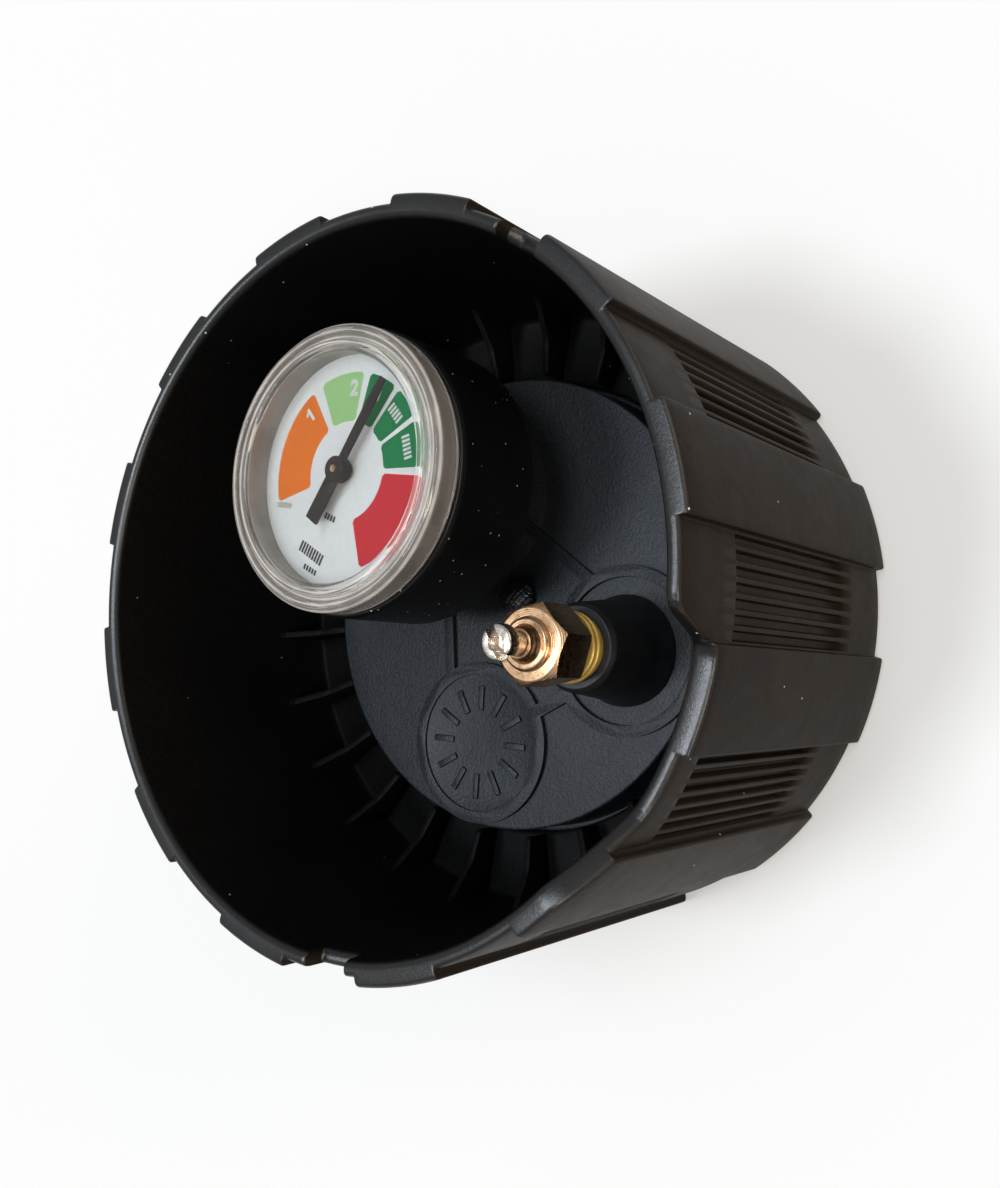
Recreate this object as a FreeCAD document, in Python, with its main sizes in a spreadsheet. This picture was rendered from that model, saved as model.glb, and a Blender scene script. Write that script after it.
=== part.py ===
import FreeCAD, Part
import math
import os
import re

from FreeCAD import Placement, Rotation, Vector
import Sketcher

# Ball pressuriser cap: a ribbed grip collar that screws onto a wide-necked jar, turning round an
# inner lid that carries a dial gauge and a tyre-type valve. Millimetres, +Z out of the cup's mouth,
# origin at the centre of the collar's bottom edge. Angles are measured anticlockwise from +X.

DIMENSIONS = {
    # grip collar
    "collar_height": 65.0,
    "panel_radius": 51.5,
    "wall_radius": 50.3,
    "mouth_radius": 48.35,
    "cup_foot_radius": 47.2,
    "rim_inner_break": 0.9,
    "rim_outer_break": 0.6,
    "foot_break": 0.8,
    "panel_angle": 15.0,
    "panel_count": 12,
    "recess_centre": 1.5,
    "flute_pitch": 1.88,
    "flute_width": 1.2,
    "flute_floor_radius": 49.3,
    "flute_low": 16.0,
    "flute_high": 51.0,
    "ledge_top": 21.0,
    "ledge_under": 18.0,
    "ledge_opening_radius": 36.4,
    "lid_seat_radius": 47.0,
    "lid_seat_low": 13.0,
    "gusset_count": 24,
    "gusset_centre": 9.0,
    "gusset_thickness": 1.2,
    "gusset_toe_radius": 36.8,
    "gusset_toe_height": 25.5,
    "gusset_head_height": 30.5,
    # rim openings, along the rim from their own centre line
    "cutout_centre": 247.5,
    "cutout_depth": 8.5,
    "cutout_steep_head": 17.8,
    "cutout_steep_foot": 14.4,
    "cutout_gentle_foot": -7.0,
    "cutout_gentle_head": -17.8,
    "cutout_rounding": 2.5,
    "notch_width": 7.0,
    "notch_depth": 3.2,
    "right_notch_centre": -31.75,
    "left_notch_centre": 182.75,
    # jar thread
    "neck_radius": 46.0,
    "thread_root_radius": 47.1,
    "thread_pitch": 6.0,
    "thread_width": 2.6,
    "thread_low": 2.4,
    "thread_rise": 8.4,
    # inner lid
    "lid_radius": 35.6,
    "lid_top": 27.0,
    "lid_plate_under": 24.0,
    "lid_wall_inner": 32.8,
    "lid_flange_radius": 46.6,
    "lid_flange_top": 17.8,
    "lid_flange_under": 15.0,
    "relief_top": 27.8,
    "emblem_x": -22.5,
    "emblem_y": 3.3,
    "emblem_radius": 12.7,
    "emblem_floor_radius": 10.9,
    "emblem_floor": 27.4,
    "gasket_inner": 38.0,
    "gasket_outer": 42.6,
    "gasket_top": 16.3,
    "gasket_under": 14.2,
    # gauge
    "gauge_x": 16.5,
    "gauge_y": 8.3,
    "gauge_turn": -117.0,
    "gauge_relief_radius": 15.0,
    "gauge_relief_top": 27.3,
    "gauge_boss_radius": 9.5,
    "gauge_boss_top": 36.2,
    "gauge_stem_radius": 4.86,
    "stem_under": 15.0,
    "stem_washer_radius": 7.2,
    "stem_washer_under": 34.8,
    "socket_flats": 13.0,
    "nut_flats": 15.0,
    "nut_top": 20.4,
    "nut_under": 16.0,
    "case_back": 38.8,
    "case_floor": 40.3,
    "case_radius": 21.0,
    "case_inner": 19.4,
    "case_front": 55.6,
    "spigot_radius": 19.1,
    "spigot_inner": 17.7,
    "spigot_top": 58.2,
    "dial_rest": 55.0,
    "dial_rest_inner": 16.9,
    "dial_radius": 17.5,
    "dial_top": 55.6,
    "lens_radius": 20.5,
    "lens_foot": 55.8,
    "lens_front": 60.4,
    "window_outer": 59.9,
    "window_inner": 58.8,
    "pointer_under": 57.2,
    "pointer_thickness": 0.5,
    "pointer_reach": 14.8,
    "pointer_tail": 8.6,
    "pointer_hub_radius": 1.9,
    "pointer_reading": -5.0,
    "stop_pin_radius": 12.5,
    "stop_pin_angle": 139.4,
    # gauge movement
    "socket_top": 45.8,
    "plate_thickness": 0.8,
    "plate_gap": 5.0,
    "gear_module": 0.2,
    "pinion_teeth": 12,
    "sector_teeth_full": 96,
    "sector_teeth": 12,
    "tooth_width": 0.25,
    "gear_under": 48.6,
    "gear_thickness": 0.8,
    "arbor_radius": 0.5,
    "tail_length": 4.5,
    "link_length": 4.0,
    "link_under": 49.7,
    "link_thickness": 0.6,
    "tube_inner_radius": 14.2,
    "tube_thickness": 2.0,
    "tube_under": 43.6,
    "tube_height": 5.0,
    "tube_root_angle": 260.0,
    "tube_end_angle": -26.3,
    "tip_block_angle": 8.0,
    "tip_block_under": 43.2,
    "tip_block_top": 49.2,
    "hairspring_under": 50.6,
    # valve
    "valve_x": -6.6,
    "valve_y": -22.3,
    "valve_hole_radius": 5.7,
    "valve_relief_radius": 12.6,
    "valve_floor_radius": 10.9,
    "valve_floor": 27.0,
    "stem_rubber_radius": 3.0,
    "stem_thread_radius": 3.85,
    "stem_flange_radius": 4.6,
    "rubber_top": 41.0,
    "stem_top": 48.8,
    "core_bore": 2.65,
    "core_seat": 41.0,
    "core_pin_radius": 0.65,
    "spring_coil": 1.75,
    "spring_wire": 0.18,
    "spring_low": 30.0,
    "spring_turns": 6,
    "cap_under": 41.9,
    "cap_skirt_radius": 4.95,
    "cap_hex_under": 45.3,
    "cap_flats": 10.0,
    "cap_hex_turn": -14.0,
    "cap_face": 52.0,
    "cap_bore": 3.93,
    "cap_bore_top": 49.4,
    "key_shank_radius": 1.55,
    "key_fork_radius": 2.35,
    "key_top": 59.2,
}

document = FreeCAD.newDocument("ball_pressuriser_cap")
sheet = document.addObject("Spreadsheet::Sheet", "Sheet")
for row, (name, size) in enumerate(DIMENSIONS.items(), start=1):
    sheet.set(f"A{row}", name.replace("_", " "))
    sheet.set(f"B{row}", str(size))
    sheet.setAlias(f"B{row}", name)
document.recompute()

subparts = []


# ---------------------------------------------------------------- helpers


def linked(expression):
    """Point every dimension named in an expression at its cell of the sheet."""

    def cell(match):
        return "Sheet." + match.group() if match.group() in DIMENSIONS else match.group()

    return re.sub(r"[a-z_]+", cell, str(expression))


def bind(item, **expressions):
    for path, expression in expressions.items():
        item.setExpression(path, linked(expression))


def bind_place(item, x="0", y="0", z="0", turn="0", spin_axis=Vector(0, 0, 1), path="Placement"):
    """Bind a placement: its position, and its turn about one axis."""
    setattr(item, path, Placement(Vector(), Rotation(spin_axis, 1)))
    for axis, expression in (("x", x), ("y", y), ("z", z)):
        item.setExpression(f".{path}.Base.{axis}", linked(expression))
    item.setExpression(f".{path}.Rotation.Angle", linked(turn))


def get(name):
    return float(sheet.get(name))


def new_body(label, x="0", y="0", turn="0"):
    body = document.addObject("PartDesign::Body", label)
    body.Label = label
    bind_place(body, x, y, "0", turn)
    subparts.append(body)
    return body


def gauge_body(label):
    return new_body(label, "gauge_x", "gauge_y", "gauge_turn")


def valve_body(label):
    return new_body(label, "valve_x", "valve_y")


def origin_feature(body, role):
    return next(feature for feature in body.Origin.OriginFeatures if feature.Role == role)


def sketch_loops(body, name, role, loops, z="0", turn="0"):
    """Closed straight-sided outlines, every corner bound to a pair of expressions."""
    sketch = body.newObject("Sketcher::SketchObject", name)
    sketch.AttachmentSupport = [(origin_feature(body, role), "")]
    sketch.MapMode = "FlatFace"
    upright = role != "XY_Plane"
    spin_axis = Vector(0, 1, 0) if upright else Vector(0, 0, 1)
    offset = {} if upright else {"z": z}
    bind_place(sketch, turn=turn, spin_axis=spin_axis, path="AttachmentOffset", **offset)
    for loop_number, loop in enumerate(loops):
        corners = []
        for number in range(len(loop)):
            angle = 2 * math.pi * number / len(loop)
            corners.append(Vector(20 * loop_number + 9 * math.cos(angle), 9 * math.sin(angle), 0))
        first = sketch.GeometryCount
        for number, corner in enumerate(corners):
            following = corners[(number + 1) % len(corners)]
            sketch.addGeometry(Part.LineSegment(corner, following), False)
        for number in range(len(loop)):
            following = first + (number + 1) % len(loop)
            sketch.addConstraint(Sketcher.Constraint("Coincident", first + number, 2, following, 1))
        for number, pair in enumerate(loop):
            for kind, expression, value in zip(("DistanceX", "DistanceY"), pair, corners[number]):
                index = sketch.addConstraint(Sketcher.Constraint(kind, first + number, 1, value))
                sketch.setExpression(f"Constraints[{index}]", linked(expression))
    return sketch


def tip_check(body, feature, before, cutting):
    """A feature that cuts must remove material, and one that adds must add it."""
    document.recompute()
    after = feature.Shape.Volume
    if cutting is not None and (after >= before - 1e-6) == cutting and before > 0:
        raise RuntimeError(f"{body.Label}: {feature.Name} changed nothing ({before} to {after})")
    return feature


def volume(body):
    document.recompute()
    return body.Shape.Volume if body.Tip else 0.0


def turned(body, name, loops, cutting=False, angle="360", turn="0"):
    """Turn outlines in the upright plane about the body's Z axis."""
    before = volume(body)
    sketch = sketch_loops(body, name + "_outline", "XZ_Plane", loops, turn=turn)
    kind = "PartDesign::Groove" if cutting else "PartDesign::Revolution"
    feature = body.newObject(kind, name)
    feature.Profile = sketch
    feature.ReferenceAxis = (sketch, ["V_Axis"])
    feature.Midplane = True
    bind(feature, Angle=angle)
    return tip_check(body, feature, before, cutting)


def raised(body, name, loops, low, high, cutting=False, turn="0"):
    """Pad outlines up from one height to another, or pocket them down between the same heights."""
    before = volume(body)
    start = high if cutting else low
    sketch = sketch_loops(body, name + "_outline", "XY_Plane", loops, z=start, turn=turn)
    feature = body.newObject("PartDesign::Pocket" if cutting else "PartDesign::Pad", name)
    feature.Profile = sketch
    bind(feature, Length=f"({high}) - ({low})")
    return tip_check(body, feature, before, cutting)


def primitive(body, shape, name, cutting, place, sizes):
    before = volume(body)
    kind = "PartDesign::Subtractive" if cutting else "PartDesign::Additive"
    feature = body.newObject(kind + shape, name)
    bind_place(feature, **place)
    bind(feature, **sizes)
    return tip_check(body, feature, before, cutting)


def disc(body, name, radius, low, high, x="0", y="0", cutting=False):
    sizes = {"Radius": radius, "Height": f"({high}) - ({low})"}
    return primitive(body, "Cylinder", name, cutting, {"x": x, "y": y, "z": low}, sizes)


def hexagon(body, name, flats, low, high, turn="0"):
    before = volume(body)
    feature = body.newObject("PartDesign::AdditivePrism", name)
    feature.Polygon = 6
    bind_place(feature, z=low, turn=turn)
    bind(feature, Circumradius=f"({flats}) / sqrt(3)", Height=f"({high}) - ({low})")
    return tip_check(body, feature, before, False)


def around(body, name, original, count):
    """Repeat a feature evenly round the body's Z axis."""
    before = volume(body)
    pattern = body.newObject("PartDesign::PolarPattern", name)
    pattern.Originals = [original]
    pattern.Axis = (origin_feature(body, "Z_Axis"), [""])
    pattern.Angle = 360
    bind(pattern, Occurrences=count)
    body.Tip = pattern
    cutting = "Groove" in original.TypeId or "Pocket" in original.TypeId
    return tip_check(body, pattern, before, cutting)


def box_loop(x_low, x_high, y_low, y_high):
    return [(x_low, y_low), (x_high, y_low), (x_high, y_high), (x_low, y_high)]


def coded(label, shape, x="0", y="0", turn="0"):
    """A sub-part whose shape is worked out in code from the sheet's sizes."""
    feature = document.addObject("Part::Feature", label)
    feature.Label = label
    feature.Shape = shape
    bind_place(feature, x, y, "0", turn)
    subparts.append(feature)
    return feature


def code_disc(radius, low, high, x=0.0, y=0.0):
    return Part.makeCylinder(radius, high - low, Vector(x, y, low))


def prism(points, low, high):
    """A straight-sided solid between two heights."""
    corners = [Vector(x, y, low) for x, y in points]
    return Part.Face(Part.makePolygon(corners + corners[:1])).extrude(Vector(0, 0, high - low))


def polar(radius, degrees, x=0.0, y=0.0):
    angle = math.radians(degrees)
    return x + radius * math.cos(angle), y + radius * math.sin(angle)


# ---------------------------------------------------------------- grip collar


def radial_cut(body, name, centre, outline):
    """Cut an outline straight out through the rim on one side; x runs along the rim, y is height."""
    before = volume(body)
    sketch = sketch_loops(body, name + "_outline", "YZ_Plane", [outline], turn=centre)
    pocket = body.newObject("PartDesign::Pocket", name)
    pocket.Profile = sketch
    pocket.Reversed = True
    bind(pocket, Length="panel_radius + 5")
    return tip_check(body, pocket, before, True)


def grip_collar():
    body = new_body("grip_collar")
    wall = [
        ("neck_radius + foot_break", "0"),
        ("panel_radius - foot_break", "0"),
        ("panel_radius", "foot_break"),
        ("panel_radius", "collar_height - rim_outer_break"),
        ("panel_radius - rim_outer_break", "collar_height"),
        ("mouth_radius + rim_inner_break", "collar_height"),
        ("mouth_radius", "collar_height - rim_inner_break"),
        ("cup_foot_radius", "ledge_top"),
        ("ledge_opening_radius", "ledge_top"),
        ("ledge_opening_radius", "ledge_under"),
        ("lid_seat_radius", "ledge_under"),
        ("lid_seat_radius", "lid_seat_low"),
        ("neck_radius", "lid_seat_low - 1"),
        ("neck_radius", "foot_break"),
    ]
    turned(body, "wall", [wall])
    recess = [
        ("wall_radius", "-1"),
        ("wall_radius", "collar_height - rim_outer_break"),
        ("wall_radius - rim_outer_break", "collar_height"),
        ("wall_radius - rim_outer_break", "collar_height + 1"),
        ("panel_radius + 1", "collar_height + 1"),
        ("panel_radius + 1", "-1"),
    ]
    panel = turned(body, "recess", [recess], True, "panel_angle", "recess_centre")
    around(body, "recesses", panel, "panel_count")
    flutes = []
    for number in range(-3, 4):
        middle = f"{number} * flute_pitch"
        floor = f"sqrt(flute_floor_radius ^ 2 - ({middle}) ^ 2)"
        low = f"{middle} - flute_width / 2"
        high = f"{middle} + flute_width / 2"
        flutes.append(box_loop(floor, "panel_radius + 1", low, high))
    flute = raised(body, "flute", flutes, "flute_low", "flute_high", True, "recess_centre")
    around(body, "flutes", flute, "panel_count")
    gusset = [
        ("gusset_toe_radius", "ledge_top - 1"),
        ("gusset_toe_radius", "gusset_toe_height"),
        ("(gusset_toe_radius + cup_foot_radius) / 2", "gusset_toe_height + 1.2"),
        ("cup_foot_radius", "gusset_head_height"),
        ("mouth_radius", "gusset_head_height + 1"),
        ("mouth_radius", "ledge_top - 1"),
    ]
    before = volume(body)
    sketch = sketch_loops(body, "gusset_outline", "XZ_Plane", [gusset], turn="gusset_centre")
    web = body.newObject("PartDesign::Pad", "gusset")
    web.Profile = sketch
    web.Midplane = True
    bind(web, Length="gusset_thickness")
    tip_check(body, web, before, False)
    around(body, "gussets", web, "gusset_count")
    floor = "collar_height - cutout_depth"
    cutout = [
        ("cutout_steep_head + 2.5", "collar_height + 3"),
        ("cutout_steep_head + 0.7", "collar_height"),
        ("cutout_steep_head - 0.5", "collar_height - 1.2"),
        ("cutout_steep_foot + 0.25 * cutout_rounding", f"{floor} + 0.63 * cutout_rounding"),
        ("cutout_steep_foot - 0.1 * cutout_rounding", f"{floor} + 0.18 * cutout_rounding"),
        ("cutout_steep_foot - 0.68 * cutout_rounding", floor),
        ("cutout_gentle_foot + 0.35 * cutout_rounding", floor),
        ("cutout_gentle_foot - 0.27 * cutout_rounding", f"{floor} + 0.22 * cutout_rounding"),
        ("cutout_gentle_head + 1", "collar_height - 0.8"),
        ("cutout_gentle_head - 0.8", "collar_height"),
        ("cutout_gentle_head - 5", "collar_height + 3"),
    ]
    radial_cut(body, "cutout", "cutout_centre", cutout)
    notch = [
        ("-notch_width / 2", "collar_height + 1"),
        ("-notch_width / 2", "collar_height - notch_depth"),
        ("notch_width / 4", "collar_height - notch_depth - 0.6"),
        ("notch_width / 2", "collar_height - notch_depth + 0.8"),
        ("notch_width / 2", "collar_height + 1"),
    ]
    for side in ("right", "left"):
        radial_cut(body, side + "_notch", side + "_notch_centre", notch)
    groove = [
        ("neck_radius - 0.5", "thread_low"),
        ("neck_radius - 0.5", "thread_low + thread_width"),
        ("thread_root_radius", "thread_low + thread_width - 0.7"),
        ("thread_root_radius", "thread_low + 0.7"),
    ]
    before = volume(body)
    sketch = sketch_loops(body, "thread_outline", "XZ_Plane", [groove])
    thread = body.newObject("PartDesign::SubtractiveHelix", "thread")
    thread.Profile = sketch
    thread.ReferenceAxis = (sketch, ["V_Axis"])
    thread.Mode = 0
    bind(thread, Pitch="thread_pitch", Height="thread_rise")
    tip_check(body, thread, before, True)


# ---------------------------------------------------------------- inner lid


def inner_lid():
    body = new_body("inner_lid")
    section = [
        ("0", "lid_plate_under"),
        ("lid_wall_inner", "lid_plate_under"),
        ("lid_wall_inner", "lid_flange_under"),
        ("gasket_inner", "lid_flange_under"),
        ("gasket_inner", "gasket_top"),
        ("gasket_outer", "gasket_top"),
        ("gasket_outer", "lid_flange_under"),
        ("lid_flange_radius", "lid_flange_under"),
        ("lid_flange_radius", "lid_flange_top"),
        ("lid_radius", "lid_flange_top"),
        ("lid_radius", "lid_top - 0.4"),
        ("lid_radius - 0.4", "lid_top"),
        ("0", "lid_top"),
    ]
    turned(body, "plate", [section])
    low = "lid_top - 0.5"
    gauge_rib = [("8", "11.35"), ("-12.5", "8.85"), ("-12.7", "10.6"), ("7.8", "13.1")]
    emblem_rib = [("-12.7", "-12.9"), ("-16.05", "-6.75"), ("-17.8", "-7.7"), ("-14.5", "-13.5")]
    valve_rib = [("15.3", "-0.6"), ("4.0", "-16.9"), ("2.55", "-15.9"), ("13.9", "0.4")]
    raised(body, "gauge_rib", [gauge_rib], low, "relief_top")
    raised(body, "emblem_rib", [emblem_rib], low, "relief_top")
    raised(body, "valve_rib", [valve_rib], low, "relief_top")
    disc(body, "gauge_relief", "gauge_relief_radius", low, "gauge_relief_top", "gauge_x", "gauge_y")
    disc(body, "valve_relief", "valve_relief_radius", low, "relief_top", "valve_x", "valve_y")
    disc(body, "emblem_relief", "emblem_radius", low, "relief_top", "emblem_x", "emblem_y")
    disc(body, "valve_floor_cut", "valve_floor_radius", "valve_floor", "relief_top + 1",
         "valve_x", "valve_y", True)
    disc(body, "emblem_floor_cut", "emblem_floor_radius", "emblem_floor", "relief_top + 1",
         "emblem_x", "emblem_y", True)
    for number in range(12):
        place = {
            "x": f"emblem_x + 5 * cos({30 * number}) + 0.5 * sin({30 * number})",
            "y": f"emblem_y + 5 * sin({30 * number}) - 0.5 * cos({30 * number})",
            "z": "emblem_floor - 0.2",
            "turn": str(30 * number),
        }
        sizes = {"Length": "4", "Width": "1", "Height": "relief_top - emblem_floor + 0.2"}
        primitive(body, "Box", f"emblem_ray_{number}", False, place, sizes)
    disc(body, "gauge_boss", "gauge_boss_radius", "lid_plate_under - 3.5", "gauge_boss_top",
         "gauge_x", "gauge_y")
    turned(body, "under_ring", [box_loop("12.0", "13.4", "lid_plate_under - 1.2", "lid_plate_under + 1")])
    disc(body, "stem_hole", "gauge_stem_radius + 0.1", "10", "gauge_boss_top + 1",
         "gauge_x", "gauge_y", True)
    disc(body, "washer_seat", "stem_washer_radius", "stem_washer_under", "gauge_boss_top + 1",
         "gauge_x", "gauge_y", True)
    disc(body, "valve_hole", "valve_hole_radius", "10", "relief_top + 1", "valve_x", "valve_y", True)


def lid_gasket():
    body = new_body("lid_gasket")
    ring = box_loop("gasket_inner + 0.1", "gasket_outer - 0.1", "gasket_under", "gasket_top")
    turned(body, "ring", [ring])


def foot_sealant():
    """A squeezed-out lump of sealant on the lid at the gauge's foot."""
    lump = Part.makeSphere(1.0)
    stretch = FreeCAD.Matrix()
    stretch.scale(3.0, 3.4, 1.8)
    lump = lump.transformGeometry(stretch)
    lump.translate(Vector(0.9, -2.6, get("lid_top") + 0.6))
    floor = Part.makeBox(20, 20, 10, Vector(-10, -13, get("lid_top") - 10))
    coded("foot_sealant", lump.cut(floor))


# ---------------------------------------------------------------- gauge housing


def gauge_case():
    body = gauge_body("gauge_case")
    shell = [
        ("6.2", "case_back"),
        ("case_radius - 0.8", "case_back"),
        ("case_radius", "case_back + 0.8"),
        ("case_radius", "case_front"),
        ("spigot_radius", "case_front"),
        ("spigot_radius", "spigot_top"),
        ("spigot_inner", "spigot_top"),
        ("spigot_inner", "dial_rest"),
        ("dial_rest_inner", "dial_rest"),
        ("dial_rest_inner", "dial_rest - 1.2"),
        ("case_inner", "dial_rest - 2"),
        ("case_inner", "case_floor"),
        ("6.2", "case_floor"),
    ]
    turned(body, "shell", [shell])
    for side in (-1, 1):
        disc(body, f"screw_hole_{side + 1}", "1.35", "30", "42", f"{side} * 3.2", "-13", True)


def gauge_lens():
    body = gauge_body("gauge_lens")
    section = [
        ("0", "window_inner"),
        ("spigot_radius - 0.4", "window_inner"),
        ("spigot_radius + 0.1", "window_inner - 0.4"),
        ("spigot_radius + 0.1", "lens_foot"),
        ("lens_radius", "lens_foot"),
        ("lens_radius", "lens_front - 1.1"),
        ("lens_radius - 0.5", "lens_front - 0.5"),
        ("lens_radius - 1.5", "lens_front - 0.4"),
        ("lens_radius - 1.6", "lens_front - 0.8"),
        ("lens_radius - 2.2", "lens_front - 0.8"),
        ("lens_radius - 2.4", "lens_front"),
        ("lens_radius - 3.6", "lens_front"),
        ("lens_radius - 4.0", "window_outer"),
        ("0", "window_outer"),
    ]
    turned(body, "cap", [section])


def dial_plate():
    body = gauge_body("dial_plate")
    turned(body, "disc", [box_loop("1.4", "dial_radius", "dial_rest", "dial_top")])


def dial_stop_pin():
    body = gauge_body("dial_stop_pin")
    x = "stop_pin_radius * cos(stop_pin_angle + 90)"
    y = "stop_pin_radius * sin(stop_pin_angle + 90)"
    disc(body, "pin", "0.4", "dial_top", "pointer_under + 0.8", x, y)


def pointer():
    body = gauge_body("pointer")
    low, high = "pointer_under", "pointer_under + pointer_thickness"
    arm = [
        ("-0.6", "pointer_reach"),
        ("0.6", "pointer_reach"),
        ("0.78", "pointer_reach - 4"),
        ("0.72", "1"),
        ("1.2", "-1"),
        ("1.25", "-pointer_tail"),
        ("-1.25", "-pointer_tail"),
        ("-1.2", "-1"),
        ("-0.72", "1"),
        ("-0.78", "pointer_reach - 4"),
    ]
    raised(body, "arm", [arm], low, high, turn="pointer_reading")
    disc(body, "hub", "pointer_hub_radius", "pointer_under - 0.9", "pointer_under + 1.1")
    disc(body, "bore", "arbor_radius", "pointer_under - 2", "pointer_under + 3", cutting=True)


# ---------------------------------------------------------------- gauge movement


def toothed(radius, teeth, centre_angle, count, root, inner=0.0):
    """Outline of straight-flanked teeth round an arc, closed on an inner radius or all the way round."""
    module = get("gear_module")
    half = math.degrees(get("tooth_width") / 2 / radius)
    pitch = 360.0 / teeth
    tip = radius + 0.8 * module
    points = []
    for number in range(count):
        angle = centre_angle + (number - (count - 1) / 2) * pitch
        for reach, spread in ((root, -1.5), (tip, -0.55), (tip, 0.55), (root, 1.5)):
            points.append(polar(reach, angle + spread * half))
    if inner:
        last = centre_angle + (count - 1) / 2 * pitch
        steps = 12
        for step in range(steps + 1):
            points.append(polar(inner, last - step * (count - 1) * pitch / steps))
    return points


def pinion_shaft():
    radius = get("gear_module") * get("pinion_teeth") / 2
    teeth = int(get("pinion_teeth"))
    low, thickness = get("gear_under"), get("gear_thickness")
    gap_towards_sector = -45 + 180 / teeth
    outline = toothed(radius, teeth, gap_towards_sector, teeth, radius - 0.25)
    shape = prism(outline, low - 0.4, low + thickness + 0.4)
    shape = shape.fuse(code_disc(get("arbor_radius"), get("socket_top") + 0.1, get("pointer_under") + 1.2))
    coded("pinion_shaft", shape.removeSplitter(), "gauge_x", "gauge_y", "gauge_turn")


def sector_pivot():
    radii = get("gear_module") * (get("pinion_teeth") + get("sector_teeth_full")) / 2
    return polar(radii, -45)


def sector_gear():
    full = int(get("sector_teeth_full"))
    radius = get("gear_module") * full / 2
    low, high = get("gear_under"), get("gear_under") + get("gear_thickness")
    root = radius - 0.25
    rim = prism(toothed(radius, full, 135, int(get("sector_teeth")), root, 7.2), low, high)
    shape = rim.fuse(code_disc(1.5, low, high))
    for angle in (119, 151):
        spoke = [polar(0.6, angle - 90), polar(7.6, angle - 4), polar(7.6, angle + 4), polar(0.6, angle + 90)]
        shape = shape.fuse(prism(spoke, low, high))
    tail = get("tail_length")
    arm = [polar(0.8, 45), polar(tail, -35), polar(tail, -55), polar(0.8, 225)]
    shape = shape.fuse(prism(arm, low, high))
    tail_x, tail_y = polar(tail, -45)
    shape = shape.fuse(code_disc(1.1, low, high, tail_x, tail_y))
    shape = shape.cut(code_disc(0.7, low - 1, high + 1)).cut(code_disc(0.45, low - 1, high + 1, tail_x, tail_y))
    shape.translate(Vector(*sector_pivot(), 0))
    coded("sector_gear", shape.removeSplitter(), "gauge_x", "gauge_y", "gauge_turn")
    arbor = code_disc(0.7, get("socket_top") + get("plate_thickness") + 0.1, movement_front() - 0.1)
    arbor_top = movement_front() + get("plate_thickness")
    arbor = arbor.fuse(code_disc(get("arbor_radius"), get("socket_top") + 0.1, arbor_top))
    arbor.translate(Vector(*sector_pivot(), 0))
    coded("sector_arbor", arbor.removeSplitter(), "gauge_x", "gauge_y", "gauge_turn")
    pin_top = get("link_under") + get("link_thickness") + 0.3
    pin = code_disc(0.45, get("gear_under") - 0.2, pin_top, *tail_place())
    coded("link_pin", pin, "gauge_x", "gauge_y", "gauge_turn")


def tail_place():
    return polar(get("tail_length"), -45, *sector_pivot())


def tip_place():
    return polar(get("link_length"), 45, *tail_place())


def movement_front():
    return get("socket_top") + get("plate_thickness") + get("plate_gap")


def link_bar():
    low, high = get("link_under"), get("link_under") + get("link_thickness")
    length = get("link_length")
    travel, half = 2.2, 0.7
    shape = code_disc(1.2, low, high).fuse(prism(
        [(0, -1.0), (length, -1.0), (length, 1.0), (0, 1.0)], low, high))
    outer = prism([(length - travel, -1.4), (length + travel, -1.4),
                   (length + travel, 1.4), (length - travel, 1.4)], low, high)
    shape = shape.fuse(outer)
    slot = prism([(length - travel + 0.3, -half), (length + travel - 0.3, -half),
                  (length + travel - 0.3, half), (length - travel + 0.3, half)], low - 1, high + 1)
    shape = shape.cut(slot).cut(code_disc(0.5, low - 1, high + 1))
    shape.rotate(Vector(), Vector(0, 0, 1), 45)
    shape.translate(Vector(*tail_place(), 0))
    coded("link_bar", shape.removeSplitter(), "gauge_x", "gauge_y", "gauge_turn")


def bourdon_tube():
    """A flattened hollow tube bent round most of a circle, closed at its free end by a small block."""
    body = gauge_body("bourdon_tube")
    outer = ("tube_inner_radius", "tube_inner_radius + tube_thickness")
    walls = []
    for wall in (0.0, 0.3):
        inside, outside = f"{outer[0]} + {wall}", f"{outer[1]} - {wall}"
        low, high = f"tube_under + {wall}", f"tube_under + tube_height - {wall}"
        walls.append([
            (f"{inside} + 0.5", low), (f"{outside} - 0.5", low),
            (outside, f"{low} + 0.8"), (outside, f"{high} - 0.8"),
            (f"{outside} - 0.5", high), (f"{inside} + 0.5", high),
            (inside, f"{high} - 0.8"), (inside, f"{low} + 0.8"),
        ])
    span = "tube_root_angle - tube_end_angle"
    turned(body, "tube", walls, angle=span, turn="(tube_root_angle + tube_end_angle) / 2")
    block = gauge_body("tube_tip_block")
    section = box_loop("tube_inner_radius - 0.8", "tube_inner_radius + tube_thickness + 0.6",
                       "tip_block_under", "tip_block_top")
    turned(block, "block", [section], angle="tip_block_angle", turn="tube_end_angle - tip_block_angle / 2")
    x, y = tip_place()
    disc(block, "pin", "0.35", "tip_block_top - 1", "link_under + link_thickness + 0.4", f"{x:.3f}", f"{y:.3f}")


PLATE_OUTLINE = [(-6.8, 3.4), (-3.4, 6.8), (12.6, 0.2), (12.6, -3.2), (8.6, -11.0), (2.6, -13.4), (-0.6, -13.4)]
PILLARS = [(-4.2, 4.2), (11.2, -1.8), (1.6, -11.6)]
PLATE_SCREWS = [(0.8, -8.4), (-3.0, 1.0)]


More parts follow.
